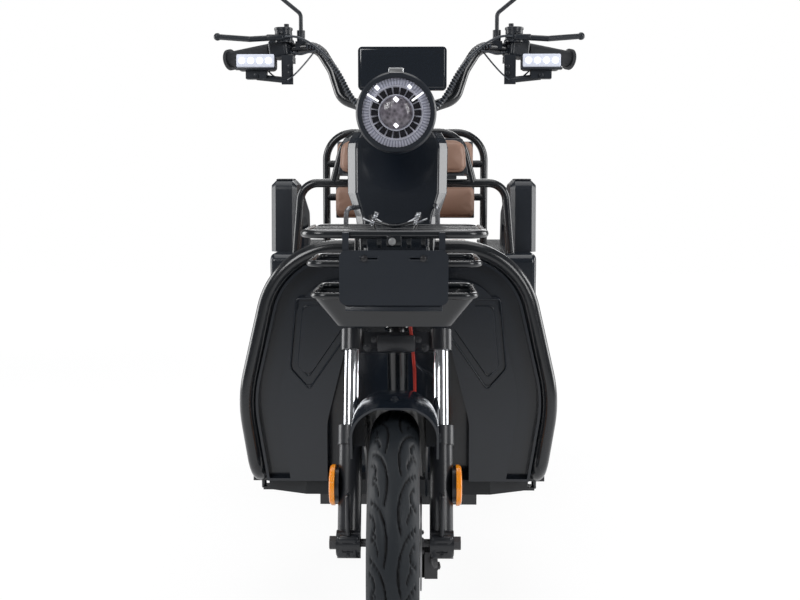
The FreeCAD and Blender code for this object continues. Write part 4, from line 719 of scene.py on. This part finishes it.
def makeSeats():
    low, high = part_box("driver_seat")
    makeCushion("DriverSeatCushion", low, high, "driver_seat_lid", ("driver_seat",), {
        "shrink": (0.006, 0.006, 0.004), "round": 0.022, "voxel": 0.006, "pressure": 4.0, "cap": 0.012,
        "proud": (0.004, 0.004, 0.008), "heldAxis": 2, "heldLevel": low.z + 0.004, "heldSign": 1, "faceAxis": 2,
        "seams": [{"axis": 2, "at": high.z - 0.016, "deep": 0.0022},
                  {"axis": 1, "at": low.y + 0.12, "deep": 0.002, "only": 1},
                  {"axis": 1, "at": low.y + 0.24, "deep": 0.002, "only": 1}]})
    low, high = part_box("rear_seat")
    makeCushion("RearSeatCushion", low, high, "rear_seat_lid", ("rear_seat",), {
        "shrink": (0.006, 0.006, 0.004), "round": 0.02, "voxel": 0.006, "pressure": 4.0, "cap": 0.012,
        "proud": (0.003, 0.002, 0.006), "heldAxis": 2, "heldLevel": low.z + 0.004, "heldSign": 1, "faceAxis": 2,
        "seams": [{"axis": 2, "at": high.z - 0.015, "deep": 0.0022},
                  {"axis": 0, "at": 0.0, "deep": 0.002, "only": 1},
                  {"axis": 1, "at": (low.y + high.y) / 2, "deep": 0.002, "only": 1}]})
    low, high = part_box("driver_backrest")
    board = {"thick": 0.008, "edge": 0.001, "foot": 0.012}
    padLow = Vector((low.x + 0.004, low.y, low.z + board["foot"] + 0.003))
    padHigh = Vector((high.x - 0.004, high.y - board["thick"], high.z - 0.003))
    makeCushion("DriverBackPad", padLow, padHigh, "chassis", ("driver_backrest",), {
        "shrink": (0.002, 0.005, 0.002), "round": 0.02, "voxel": 0.005, "pressure": 4.0, "cap": 0.010,
        "taper": 0.1,
        "proud": (0.002, 0.004, 0.002), "heldAxis": 1, "heldLevel": padHigh.y - 0.005, "heldSign": -1,
        "faceAxis": 1,
        "seams": [{"axis": 1, "at": low.y + 0.012, "deep": 0.002},
                  {"axis": 0, "at": -0.055, "deep": 0.002, "only": -1},
                  {"axis": 0, "at": 0.055, "deep": 0.002, "only": -1}]})
    back = roundedBox((low.x, high.y - board["thick"], low.z + board["foot"]), (high.x, high.y, high.z),
                      0.0035, 3)
    for vertex in back.data.vertices:
        rise = max(0.0, (vertex.co.z - (low.z + high.z) / 2) / ((high.z - low.z) / 2))
        vertex.co.x *= 1 - 0.1 * rise ** 2
    lip = roundedBox((low.x + 0.012, low.y + 0.012, low.z + board["foot"] - 0.003),
                     (high.x - 0.012, high.y, low.z + board["foot"] + 0.003), 0.002, 2)
    tongue = roundedBox((low.x + 0.03, high.y - 0.006, low.z), (high.x - 0.03, high.y, low.z + 0.03), 0.002, 2)
    settle(joined([back, lip, tongue]), "DriverBackBoard", finishes["satin_black"], "chassis")

    low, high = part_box("rear_back_pads")
    uppers = [("RearBackPadUpper", 0.852, 0.962, 0.206), ("RearBackPadLower", 0.727, 0.833, 0.211)]
    for name, bottom, top, half in uppers:
        scaleLow = Vector((-half, low.y, bottom))
        scaleHigh = Vector((half, high.y - 0.008, top))
        makeCushion(name, scaleLow, scaleHigh, "chassis", ("rear_back_pads",), {
            "shrink": (0.005, 0.006, 0.005), "round": 0.02, "voxel": 0.005, "pressure": 4.0, "cap": 0.012,
            "proud": (0.002, 0.008, 0.002), "heldAxis": 1, "heldLevel": scaleHigh.y - 0.006, "heldSign": -1,
            "faceAxis": 1, "seams": [{"axis": 1, "at": low.y + 0.014, "deep": 0.002},
                                     {"axis": 0, "at": -0.07, "deep": 0.002, "only": -1},
                                     {"axis": 0, "at": 0.07, "deep": 0.002, "only": -1}]})
        board = roundedBox((-half + 0.004, high.y - 0.009, bottom + 0.004), (half - 0.004, high.y, top - 0.004),
                           0.003, 3)
        bolts = [hexBolt((s * 0.09, high.y - 0.001, (bottom + top) / 2 + 0.02), (0, 1, 0), 0.004) for s in (-1,
                                                                                                            1)]
        settle(joined([board] + bolts), name.replace("Pad", "Board"), finishes["satin_black"], "chassis")


makeSeats()
print("stage: cushions are sewn")

def makeHeadlight():
    low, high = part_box("headlight_lens")
    front, back, centreZ = low.y, high.y, (low.z + high.z) / 2
    radius = (high.x - low.x) / 2
    values = {"ribs": 132, "ribInset": 0.0115, "blocks": 20, "blockRadius": 0.0372,
              "blockSize": (0.0096, 0.0016, 0.0136),
              "domeRadius": 0.0285, "starSize": 0.0044, "tab": (0.026, 0.03, 0.006)}
    outward = (0, -1, 0)
    base = turnedPiece((0, back - 0.003, centreZ), outward, radius - 0.0004, 0.005,
                       [(values["ribInset"], 0.0), (0.0008, 0.0022), (0.0012, 0), (0.0008, -0.0022),
                        (0.0135, -0.001),
                        (0.0007, 0.0035), (0.0014, 0), (0.0007, -0.003)], values["ribs"])
    step = 2 * math.pi / values["ribs"]
    ringIn, ringOut = radius - 0.0004 - values["ribInset"], radius - 0.0004

    def everyOther(middle, normal):
        reach = math.hypot(middle.x, middle.z - centreZ)
        turn = math.atan2(middle.z - centreZ, middle.x) / step
        return normal.y < -0.99 and ringIn < reach < ringOut and int(math.floor(turn)) % 2 == 0

    editFaces(base, everyOther)
    bpy.ops.mesh.inset(thickness=0.0003, depth=0.0016, use_individual=True)
    leaveEdit()
    settle(base, "HeadlightReflector", lampFinishes["pale"], "steering", ("headlight_lens",), 30)

    # each cell is a wedge, as wide as its share of the ring
    block = roundedBox((-values["blockSize"][0] / 2, back - 0.0075,
                        centreZ + values["blockRadius"] - values["blockSize"][2] / 2),
                       (values["blockSize"][0] / 2, back - 0.0055,
                        centreZ + values["blockRadius"] + values["blockSize"][2] / 2),
                       0.0005, 1)
    for vertex in block.data.vertices:
        vertex.co.x *= (vertex.co.z - centreZ) / values["blockRadius"]
    blocks = [block]
    for k in range(1, values["blocks"]):
        turn = Matrix.Rotation(2 * math.pi * k / values["blocks"], 4, "Y")
        blocks.append(moved(copyOf(block), (0, 0, 0), turn, (0, 0, centreZ)))
    settle(joined(blocks), "HeadlightCells", lampFinishes["cell"], "steering")

    clearPick()
    bpy.ops.mesh.primitive_uv_sphere_add(segments=48, ring_count=24, radius=values["domeRadius"],
                                         location=(0, back - 0.006, centreZ))
    dome = bpy.context.object
    dome.scale = (1, 0.36, 1)
    applyPlace(dome)
    editAll(dome)
    bpy.ops.mesh.bisect(plane_co=(0, back - 0.006, centreZ), plane_no=(0, 1, 0), use_fill=True,
                        clear_outer=True)
    leaveEdit()
    settle(dome, "HeadlightProjector", lampFinishes["projector"], "steering")

    glows = []
    size = values["starSize"]
    for x, z, scale in [(0, 0.0225, 1.0), (0, -0.0225, 0.9), (-0.033, 0.042, 0.9), (0.0235, 0.044, 0.8)]:
        star = roundedBox((x - size * scale, back - 0.0165, centreZ + z - size * scale * 0.8),
                          (x + size * scale, back - 0.0145, centreZ + z + size * scale * 0.8), 0.0008, 2,
                          (0, math.pi / 4, 0))
        glows.append(star)
    for angle, inner, outer in [(148, 0.036, 0.059), (36, 0.034, 0.0585)]:
        away = math.radians(angle)
        middle = (inner + outer) / 2
        x, z = math.cos(away) * middle, math.sin(away) * middle
        half = (outer - inner) / 2
        glows.append(roundedBox((x - half, back - 0.0145, centreZ + z - 0.0017),
                                (x + half, back - 0.0125, centreZ + z + 0.0017),
                                0.0005, 1, (0, -away, 0)))
    settle(joined(glows), "HeadlightLightBars", lampFinishes["glow"], "steering")

    cover = turnedPiece((0, front + 0.0025, centreZ), outward, radius - 0.0003, 0.001,
                        [(0.003, 0.0012), (0.009, 0.001), (0.016, 0.0007)], 64)
    settle(cover, "HeadlightGlass", lampFinishes["clear"], "steering")

    shellLow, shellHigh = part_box("headlight_shell")
    wide, deep, high = values["tab"]
    top = centreZ + (shellHigh.x - shellLow.x) / 2
    tab = roundedBox((-wide / 2, front + 0.004, top - 0.003),
                     (wide / 2, front + 0.004 + deep, top - 0.003 + high + 0.003), 0.0014, 3)
    editFaces(tab, lambda middle, normal: normal.y < -0.9 and middle.z > top)
    bpy.ops.mesh.inset(thickness=0.0012, depth=-0.0006)
    leaveEdit()
    settle(tab, "HeadlightTab", finishes["bright_steel"], "steering")


def makeLampFinishes():
    pale = Finish("LampReflector", (0.8, 0.81, 0.93), 0.2, Coat_Weight=1.0, Coat_Roughness=0.03)
    # radial ribs round the outer ring, every other rib painted darker as painted shade
    across, _, up = pale.axes()
    lampLow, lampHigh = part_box("headlight_lens")
    rise = up - (lampLow.z + lampHigh.z) / 2
    reach = (across * across + rise * rise).math("SQRT", across * across + rise * rise)
    turn = across.math("ARCTAN2", rise, across)
    ribs = ((turn * 66.0).sine() > 0.1) * (reach > (lampHigh.x - lampLow.x) / 2 - 0.0119)
    pale.link("Base Color", pale.blend(ribs * 0.8, (0.28, 0.3, 0.38)))
    cell = Finish("LampCell", (0.003, 0.003, 0.005), 0.2, Coat_Weight=1.0, Coat_Roughness=0.03)
    cell.link("Base Color", cell.blend(cell.noise(220.0) * 0.4, (0.02, 0.02, 0.03)))
    projector = Finish("LampProjector", (0.05, 0.045, 0.055), 0.08, Coat_Weight=1.0, Coat_Roughness=0.02)
    facets = projector.cells(150.0)
    projector.link("Base Color", projector.blend((facets * 1.1).clamped(), (0.34, 0.31, 0.36)))
    projector.bump(facets, 0.35, 0.002)
    clear = Finish("LampCover", (0.02, 0.02, 0.03), 0.03, Alpha=0.1)
    clear.link("Roughness", clear.noise(20.0) * 0.03 + 0.02)
    lamp = Finish("LampLed", (0.88, 0.9, 1.0), 0.12, Coat_Weight=1.0, Coat_Roughness=0.02,
                  Emission_Color=(0.9, 0.93, 1.0, 1), Emission_Strength=0.8)
    lamp.link("Roughness", lamp.noise(200.0) * 0.1 + 0.08)
    return {"pale": pale.material, "cell": cell.material, "projector": projector.material,
            "clear": clear.material, "glow": glowing("LampGlow", (0.96, 0.97, 1.0), 1.3), "led": lamp.material,
            "panel": glowing("LampPanel", (0.62, 0.65, 0.74), 0.4)}


lampFinishes = makeLampFinishes()
makeHeadlight()
print("stage: headlight is filled")

def makeSpotLamps():
    low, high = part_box("spot_lamps")
    values = {"wide": 0.076, "high": 0.029, "leds": 4, "ledRadius": 0.0066, "proud": 0.003, "fins": 7}
    front, right, top = low.y, high.x, high.z
    centreX, centreZ = right - values["wide"] / 2, top - values["high"] / 2
    half, tall = values["wide"] / 2, values["high"] / 2
    panel = roundedBox((centreX - half + 0.0015, front - values["proud"], centreZ - tall + 0.0035),
                       (centreX + half - 0.0015, front + 0.002, centreZ + tall - 0.0005), 0.0028, 3)
    settle(mirroredPair(panel), "SpotLampPanels", lampFinishes["panel"], "steering")
    leds = []
    for k in range(values["leds"]):
        x = centreX + (k - (values["leds"] - 1) / 2) * 0.0172
        leds.append(turnedPiece((x, front - values["proud"] - 0.0005, centreZ + 0.0015), (0, -1, 0),
                                values["ledRadius"], 0.002,
                                [(0.0008, 0.0004), (0.0012, -0.0012), (0.0022, 0.0012)], 20))
    settle(mirroredPair(joined(leds)), "SpotLampLeds", lampFinishes["led"], "steering")
    trims = [roundedBox((centreX - half - 0.002, front - 0.004, centreZ - tall - 0.001),
                        (centreX + half + 0.002, front + 0.012, centreZ - tall + 0.0035), 0.0015, 2)]
    for k in range(values["fins"]):
        x = centreX - half + 0.008 + k * (values["wide"] - 0.016) / (values["fins"] - 1)
        trims.append(roundedBox((x - 0.0012, front + 0.03, centreZ - tall + 0.002),
                                (x + 0.0012, front + 0.043, centreZ + tall - 0.002),
                                0.0005, 1))
    trims.append(hexBolt((centreX, front + 0.004, centreZ - tall - 0.012), (0, -1, 0), 0.005))
    bracketX = centreX - 0.064
    for drop in (0.028, 0.041):
        trims.append(hexBolt((bracketX, front + 0.018, centreZ - drop + 0.02), (0, -1, 0), 0.005))
    settle(mirroredPair(joined(trims)), "SpotLampTrim", finishes["satin_black"], "steering")
    start = Vector((bracketX + 0.004, front + 0.014, centreZ - 0.034))
    run = [start, start + mm(-10, 0, 6), start + mm(-35, 12, 34), start + mm(-52, 18, 57)]
    lead = tubeAlong(run, 0.0016)
    other = tubeAlong([Vector((centreX - 0.02, front + 0.03, centreZ - tall)),
                       Vector((centreX - 0.04, front + 0.03, centreZ - 0.036)),
                       Vector((bracketX, front + 0.02, centreZ - 0.037))], 0.0016)
    settle(mirroredPair(joined([lead, other])), "SpotLampLeads", finishes["cable_wrap"], "steering")


makeSpotLamps()

def makeCables():
    values = {"pitch": 0.0033, "radius": 0.0064, "valley": 0.66, "hose": 0.0026}
    route = [mm(180, -381.4, 1108.7), mm(158, -387.3, 1110), mm(117, -408, 1058), mm(94, -424, 1011),
             mm(70, -436, 983), mm(42, -438, 972), mm(42, -438, 950)]
    line = smoothLine(route, values["pitch"])
    sleeve = tubeAlong(line, values["radius"], smooth=False, sides=2)
    # each ring is marked for the painted highlight on the ridges and the painted shade in the valleys
    marks = sleeve.data.attributes.new("PaintedRidgeHighlight", "FLOAT", "POINT")
    rings = np.array([spot[:] for spot in line])
    for vertex, mark in zip(sleeve.data.vertices, marks.data):
        k = int(np.argmin(((rings - np.array(vertex.co)) ** 2).sum(axis=1)))
        mark.value = k % 2
        if k % 2 == 0:    # every other ring is drawn in to a valley
            vertex.co = line[k] + (vertex.co - line[k]) * values["valley"]
    settle(mirroredPair(sleeve), "CableSleeves", corrugatedSleeve(), "steering",
           ("control_cables",), 20)
    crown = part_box("fork_crown")[0].z
    hoseRoute = [mm(30, -583, 533), mm(30, -590, 512), mm(84, -606, 492), mm(84, -662, 328), mm(70, -678, 278)]
    hose = tubeAlong(hoseRoute, values["hose"])
    settle(hose, "BrakeHose", finishes["cable_wrap"], "steering")
    red = tubeAlong([mm(24, -598, crown * 1000 + 60), mm(29, -606, 560), mm(31, -604, 520), mm(33, -560, 500),
                     mm(33, -500, 440)], 0.003)
    redFinish = mouldedPlastic("RedSleeve", (0.62, 0.03, 0.015), 0.4, 0.1, 0.2, 0.1)
    settle(red, "RedLead", redFinish, "steering")
    leverLead = tubeAlong([mm(222, -388, 1127), mm(205, -392, 1128), mm(186, -392, 1122), mm(168, -390, 1112),
                           mm(152, -398, 1100), mm(134, -404, 1082)], 0.0024)
    second = tubeAlong([mm(214, -366, 1100), mm(196, -376, 1092), mm(176, -384, 1098), mm(160, -392, 1100)],
                       0.002)
    settle(mirroredPair(joined([leverLead, second])), "LeverCables", finishes["cable_wrap"], "steering")


makeCables()
print("stage: lamps and cables are in place")

def makeControls():
    values = {"gripX": 246, "gripY": -345.1, "tankUp": 1143}
    gripX, gripY = values["gripX"], values["gripY"]
    cap = turnedPiece(mm(gripX - 20, gripY - 26, values["tankUp"]), (0, 0, 1), 0.0182, 0.004,
                      [(0.001, 0.0008), (0.012, 0.0004), (0.001, 0.0012)], 28)
    screws = [turnedPiece(mm(gripX - 20 + s * 12, gripY - 26, values["tankUp"] + 3), (0, 0, 1), 0.0022, 0.002,
                          [(0.0008, -0.0005)], 10)
              for s in (-1, 1)]
    pivot = hexBolt(mm(gripX - 16, gripY - 42, 1133), (0, 0, 1), 0.005)
    front = hexBolt(mm(gripX - 22, gripY - 42, 1126), (0, -1, 0), 0.0045)
    buttons = [roundedBox(mm(gripX - 46 + k * 13, gripY - 27, 1094 + (k % 2) * 12),
                          mm(gripX - 38 + k * 13, gripY - 19, 1101 + (k % 2) * 12),
                          0.0015, 2) for k in range(3)]
    clampLine = roundedBox(mm(gripX - 25, gripY - 25, 1087), mm(gripX - 22.5, gripY + 12, 1124), 0.0008, 1)
    leverFin = roundedBox(mm(gripX - 22, gripY - 48, 1120), mm(gripX + 12, gripY - 36, 1131), 0.003, 3)
    settle(mirroredPair(joined([cap] + screws + [pivot, front] + buttons + [clampLine, leverFin])),
           "BarControls",
           finishes["satin_black"], "steering")

    _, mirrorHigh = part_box("mirrors")
    glassX, glassZ = mirrorHigh.x - 0.062, mirrorHigh.z - 0.038
    glass = roundedBox((glassX - 0.056, mirrorHigh.y - 0.0005, glassZ - 0.032),
                       (glassX + 0.056, mirrorHigh.y + 0.0008, glassZ + 0.032),
                       0.0004, 1)
    for vertex in glass.data.vertices:
        x, z = (vertex.co.x - glassX) / 0.056, (vertex.co.z - glassZ) / 0.032
        pull = 1 - 0.1 * (x * x * z * z)
        vertex.co.x, vertex.co.z = glassX + x * 0.056 * pull, glassZ + z * 0.032 * pull
    glassFinish = metal("MirrorGlass", (0.86, 0.88, 0.9), 0.03)
    settle(mirroredPair(glass), "MirrorGlass", glassFinish, "steering")

    low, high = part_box("display")
    top = high.z
    screen = roundedBox((low.x + 0.009, high.y - 0.0005, 1.021 + 0.008),
                        (high.x - 0.009, high.y + 0.001, top - 0.008), 0.0006, 2)
    settle(screen, "DisplayScreen", finishes["display_glass"], "steering")
    rim = roundedBox((low.x + 0.004, low.y - 0.0012, 1.021 + 0.004),
                     (high.x - 0.004, low.y + 0.001, top - 0.004), 0.0012, 2)
    editFaces(rim, lambda middle, normal: normal.y < -0.99)
    bpy.ops.mesh.inset(thickness=0.004, depth=0)
    bpy.ops.mesh.inset(thickness=0.001, depth=-0.0003)
    leaveEdit()
    settle(rim, "DisplayBackPanel", finishes["display_glass"], "steering")


makeControls()

def springAt(start, end, radius, wire, turns):
    start, end = Vector(start), Vector(end)
    along = (end - start).normalized()
    side = along.orthogonal().normalized()
    other = along.cross(side)
    count = turns * 12
    points = []
    for k in range(count + 1):
        turn = 2 * math.pi * k / 12
        points.append(start + (end - start) * k / count + side * math.cos(turn) * radius + other * math.sin(turn) * radius)
    return tubeAlong(points, wire, smooth=False, sides=2)


def makeCarrierTrim():
    low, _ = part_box("plate_carrier")
    front, bottom = low.y, low.z
    plateTop = bottom + 0.088
    values = {"slotInner": 0.024, "slotOuter": 0.055, "slotDrop": 0.013, "slotHigh": 0.0065, "lipDrop": 0.011}
    slots, bolts = [], []
    for s in (-1, 1):
        x0, x1 = sorted((s * values["slotInner"], s * values["slotOuter"]))
        slot = roundedBox((x0, front - 0.0008, plateTop - values["slotDrop"] - values["slotHigh"] / 2),
                          (x1, front + 0.0006, plateTop - values["slotDrop"] + values["slotHigh"] / 2), 0.0007,
                          2)
        editFaces(slot, lambda middle, normal: normal.y < -0.99)
        bpy.ops.mesh.inset(thickness=0.0012, depth=0)
        bpy.ops.mesh.inset(thickness=0.0004, depth=-0.0008)
        leaveEdit()
        slots.append(slot)
        bolts.append(hexBolt((s * 0.047, front - 0.0008, plateTop - values["slotDrop"]), (0, -1, 0), 0.0052))
    lip = roundedBox((-0.078, front + 0.001, bottom - values["lipDrop"]),
                     (0.078, front + 0.0035, bottom + 0.004), 0.001, 2,
                     (math.radians(-22), 0, 0))
    moved(lip, (0, 0.003, 0.001))
    settle(joined(slots + [lip]), "PlateSlotsAndLip", finishes["satin_black"], "chassis")
    settle(joined(bolts), "PlateBolts", darkSteel, "chassis")

    wires = [
        tubeAlong([mm(-54, -727, 786), mm(-40, -729, 780), mm(-18, -731, 774.5), mm(0, -732, 773),
                   mm(16, -731, 776),
                   mm(34, -728, 787)], 0.0015),
        tubeAlong([mm(-34, -727, 787), mm(-16, -731, 775.5), mm(0, -734, 772), mm(20, -731, 775),
                   mm(40, -729, 780),
                   mm(54, -727, 786)], 0.0015),
        springAt(mm(-40, -729, 775), mm(-30, -727, 797), 0.0031, 0.0008, 8),
        springAt(mm(32, -729, 775), mm(40, -727, 797), 0.0031, 0.0008, 8),
    ]
    settle(joined(wires), "ClipWires", finishes["chrome_tube"], "chassis")
    stays = [
        tubeAlong([mm(-92, -579, 762), mm(-92, -578, 786), mm(-90, -572, 797), mm(-82, -560, 800),
                   mm(-72, -546, 800)], 0.0044),
        tubeAlong([mm(74, -579, 762), mm(74, -578, 790), mm(73, -568, 802), mm(70, -546, 804)], 0.0044),
    ]
    settle(joined(stays), "CoverStays", staySteel, "chassis")
    posts = []
    for x in (-47, -24, 24, 47):
        posts.append(roundedBox(mm(x - 3.5, -806, 742), mm(x + 3.5, -801, 768), 0.001, 2))
    posts.append(roundedBox(mm(-12, -812, 744), mm(12, -806, 762), 0.0015, 2))
    settle(joined(posts), "PlatePosts", finishes["black_tube"], "chassis")
    settle(hexBolt(mm(-3, -812, 753), (0, -1, 0), 0.006), "ClipBolt", finishes["bright_steel"], "chassis")


darkSteel = metal("DarkSteel", (0.09, 0.09, 0.095), 0.35)
staySteel = metal("StaySteel", (0.42, 0.43, 0.46), 0.25)
makeCarrierTrim()
print("stage: carrier and plate are trimmed")

def makeForkTrim():
    parts = []
    for s in (-1, 1):
        parts.append(hexBolt(mm(s * 52, -632, 553), (0, -1, 0), 0.007))
        parts.append(hexBolt(mm(s * 40, -632, 567), (0, -1, 0), 0.0055))
    collar = [roundedBox(mm(-34, -634, 545), mm(34, -626, 575), 0.003, 2)]
    settle(joined(parts + collar), "ForkClampBolts", finishes["fork_paint"], "steering")
    feet = []
    for s in (-1, 1):
        x = s * 80.25
        foot = roundedBox(mm(x - 20.5, -758, 207), mm(x + 20.5, -716, 247), 0.007, 3)
        editFaces(foot, lambda middle, normal: normal.y < -0.99)
        bpy.ops.mesh.inset(thickness=0.004, depth=0.0)
        bpy.ops.mesh.inset(thickness=0.003, depth=-0.003)
        leaveEdit()
        feet.append(foot)
        feet.append(roundedBox(mm(x - 4, -757, 245), mm(x + 4, -735, 318), 0.004, 3))
        feet.append(hexBolt(mm(x, -758, 214), (0, -1, 0), 0.0036))
    settle(joined(feet), "ForkFeet", finishes["fork_paint"], "steering")
    drains = [hexBolt(mm(s * 80.25, -738, 206), (0, 0, -1), 0.0042) for s in (-1, 1)]
    settle(joined(drains), "ForkDrainScrews", finishes["bright_steel"], "steering")

    low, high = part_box("fork_reflectors")
    lens = turnedPiece((high.x + 0.0005, (low.y + high.y) / 2, (low.z + high.z) / 2), (1, 0, 0), 0.034, 0.003,
                       [(0.002, 0.0012), (0.004, 0.0006), (0.018, 0.0004)], 40)
    settle(mirroredPair(lens), "ReflectorLenses", finishes["amber"], "steering")

    screws = []
    for s in (-1, 1):
        for ahead in (-772, -734):
            screws.append(hexBolt(mm(s * 74.2, ahead, 418), (s, 0, 0), 0.0045))
    screws.append(hexBolt(mm(0, -775, 488), (0, -0.15, 1), 0.006))
    settle(joined(screws), "MudguardScrews", finishes["satin_black"], "steering")

    low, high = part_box("brake_disc")
    bolts = []
    centre = (low + high) / 2
    for k in range(5):
        turn = 2 * math.pi * k / 5
        bolts.append(hexBolt((high.x, centre.y + math.cos(turn) * 0.018, centre.z + math.sin(turn) * 0.018),
                             (1, 0, 0), 0.0042))
    settle(joined(bolts), "DiscBolts", darkSteel, "front_wheel")

    low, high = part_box("brake_caliper")
    ports = [hexBolt((high.x, high.y - 0.012, low.z + 0.012), (1, 0, 0), 0.006),
             hexBolt((high.x, high.y - 0.045, low.z + 0.02), (1, 0, 0), 0.006)]
    settle(joined(ports), "CaliperBolts", darkSteel, "steering")


makeForkTrim()


def makeShieldRolls():
    # the rolled edges on both sides of the pressed groove
    values = {"line": [(150, 612), (192, 612), (204, 484), (176, 452), (104, 556)], "half": 7.5, "roll": 1.7,
              "proud": 0.4}
    shield = nodes["leg_shield"]
    line = [Vector(place) for place in values["line"]]
    rolls = []
    for side in (-1, 1):
        run = []
        for place, here in enumerate(line):
            before = (here - line[place - 1]).normalized() if place else None
            after = (line[place + 1] - here).normalized() if place + 1 < len(line) else None
            first, last = before or after, after or before
            across = (Vector((-first.y, first.x)) + Vector((-last.y, last.x))).normalized()
            reach = values["half"] / max(0.5, across.dot(Vector((-first.y, first.x))))
            spot = here + across * reach * side
            _, where, _, _ = shield.ray_cast(mm(spot.x, -1500, spot.y), Vector((0, 1, 0)))
            run.append(Vector((where.x, where.y - values["proud"] / 1000, where.z)))
        depth = sorted(place.y for place in run)[len(run) // 2]
        rounded = []
        for place, here in enumerate(run):
            here = Vector((here.x, depth, here.z))
            if 0 < place < len(run) - 1:
                arms = [Vector((other.x, depth, other.z)) - here for other in (run[place - 1], run[place + 1])]
                ends = [here + arm.normalized() * min(0.016, arm.length * 0.4) for arm in arms]
                rounded += [ends[0], here, ends[1]]
            else:
                rounded.append(here)
        rolls.append(tubeAlong(rounded, values["roll"] / 1000))
    settle(mirroredPair(joined(rolls)), "ShieldGrooveRolls", finishes["satin_cover"], "chassis")


makeShieldRolls()


def makeWheelTrim():
    # valve and rim edge for each wheel
    for node, name, body in (("front_rim", "Front", "front_wheel"),
                             ("rear_rim_left", "RearLeft", "rear_wheel_left"),
                             ("rear_rim_right", "RearRight", "rear_wheel_right")):
        low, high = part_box(node)
        centre = (low + high) / 2
        faces = (-1, 1) if node == "front_rim" else ((1,) if "left" in node else (-1,))
        parts = []
        for side in faces:
            x = centre.x + side * 0.028
            parts.append(turnedPiece((x - side * 0.0016, centre.y, centre.z), (side, 0, 0), 0.1552, 0.003,
                                     [(0.0025, 0.0012), (0.0045, 0), (0.002, -0.0022), (0.004, 0)], 96))
            editFaces(parts[-1], lambda middle, normal: math.hypot(middle.y - centre.y,
                                                                   middle.z - centre.z) < 0.001
                      and abs(normal.x) > 0.9)
            bpy.ops.mesh.delete(type="FACE")
            leaveEdit()
        away = -0.134 if node != "front_rim" else -0.13
        parts.append(turnedPiece((centre.x + faces[-1] * 0.02, centre.y, centre.z + away), (faces[-1], 0, 0.3),
                                 0.0035, 0.03,
                                 [(0.0008, 0.001), (0.0012, 0.004)], 12))
        settle(joined(parts), name + "WheelTrim", finishes["rim_paint"], body)


makeWheelTrim()
print("stage: fork and wheels are trimmed")

def makeRearTrim():
    low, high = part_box("tailgate")
    outer = high.y
    ribs = []
    for z in (0.43, 0.49, 0.55):
        ribs.append(roundedBox((-0.185, outer - 0.0005, z - 0.011), (0.185, outer + 0.003, z + 0.011), 0.0028,
                               3))
    settle(joined(ribs), "TailgateRibs", finishes["box_paint"], "rear_gate")
    latch = roundedBox((-0.036, outer, 0.572), (0.036, outer + 0.008, 0.594), 0.004, 3)
    editFaces(latch, lambda middle, normal: normal.y > 0.99)
    bpy.ops.mesh.inset(thickness=0.005, depth=0)
    bpy.ops.mesh.inset(thickness=0.002, depth=-0.004)
    leaveEdit()
    settle(latch, "TailgateLatch", finishes["satin_black"], "rear_gate")
    low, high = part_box("tail_lights")
    lamps = []
    centreX = high.x - 0.032
    for k in range(3):
        z = low.z + 0.014 + k * 0.028
        lamps.append(turnedPiece((centreX, high.y - 0.0005, z), (0, 1, 0), 0.0115, 0.003,
                                 [(0.0012, 0.0012), (0.004, -0.001), (0.003, 0.001)], 28))
    settle(mirroredPair(joined(lamps)), "TailLampCells", finishes["red_lamp"], "chassis")
    bezel = roundedBox((centreX - 0.036, high.y - 0.011, low.z - 0.004),
                       (centreX + 0.036, high.y - 0.004, high.z + 0.004), 0.003, 3)
    settle(mirroredPair(bezel), "TailLampBezels", finishes["satin_black"], "chassis")
    low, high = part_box("side_panels")
    wheelLow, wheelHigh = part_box("rear_tyre_left")
    wheel = (wheelLow + wheelHigh) / 2
    arch = []
    for k in range(25):
        turn = math.radians(14 + k * (152 / 24))
        arch.append(Vector((high.x + 0.0005, wheel.y + math.cos(turn) * 0.252,
                            wheel.z + math.sin(turn) * 0.252)))
    trim = tubeAlong(arch, 0.005)
    line = roundedBox((high.x - 0.001, low.y + 0.05, high.z - 0.055),
                      (high.x + 0.0015, high.y - 0.05, high.z - 0.047), 0.0012, 2)
    settle(mirroredPair(joined([trim, line])), "SidePanelTrim", finishes["satin_cover"], "chassis")
    armLow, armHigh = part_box("armrests")
    pads = roundedBox((armHigh.x - 0.056, armLow.y + 0.03, armHigh.z - 0.001),
                      (armHigh.x - 0.012, armLow.y + 0.115, armHigh.z + 0.004), 0.0035, 3)
    settle(mirroredPair(pads), "ArmrestCaps", finishes["grip_rubber"], "chassis")


makeRearTrim()


def makeFloorTrim():
    low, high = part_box("floorboard")
    pedLow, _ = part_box("seat_pedestal")
    ribs = []
    for k in range(9):
        x = -0.2 + k * 0.05
        ribs.append(roundedBox((x - 0.006, low.y + 0.1, high.z - 0.0005),
                               (x + 0.006, pedLow.y - 0.012, high.z + 0.0025), 0.0015, 2))
    settle(joined(ribs), "FloorRibs", finishes["grip_rubber"], "chassis")
    panel = roundedBox((-0.12, -0.0862, 0.30), (0.12, -0.0842, 0.54), 0.0009, 2)
    editFaces(panel, lambda middle, normal: normal.y < -0.99)
    bpy.ops.mesh.inset(thickness=0.012, depth=0.0)
    bpy.ops.mesh.inset(thickness=0.002, depth=-0.0014)
    leaveEdit()
    settle(panel, "PedestalHatch", finishes["satin_cover"], "chassis")


makeFloorTrim()
print("stage: rear and floor are trimmed")
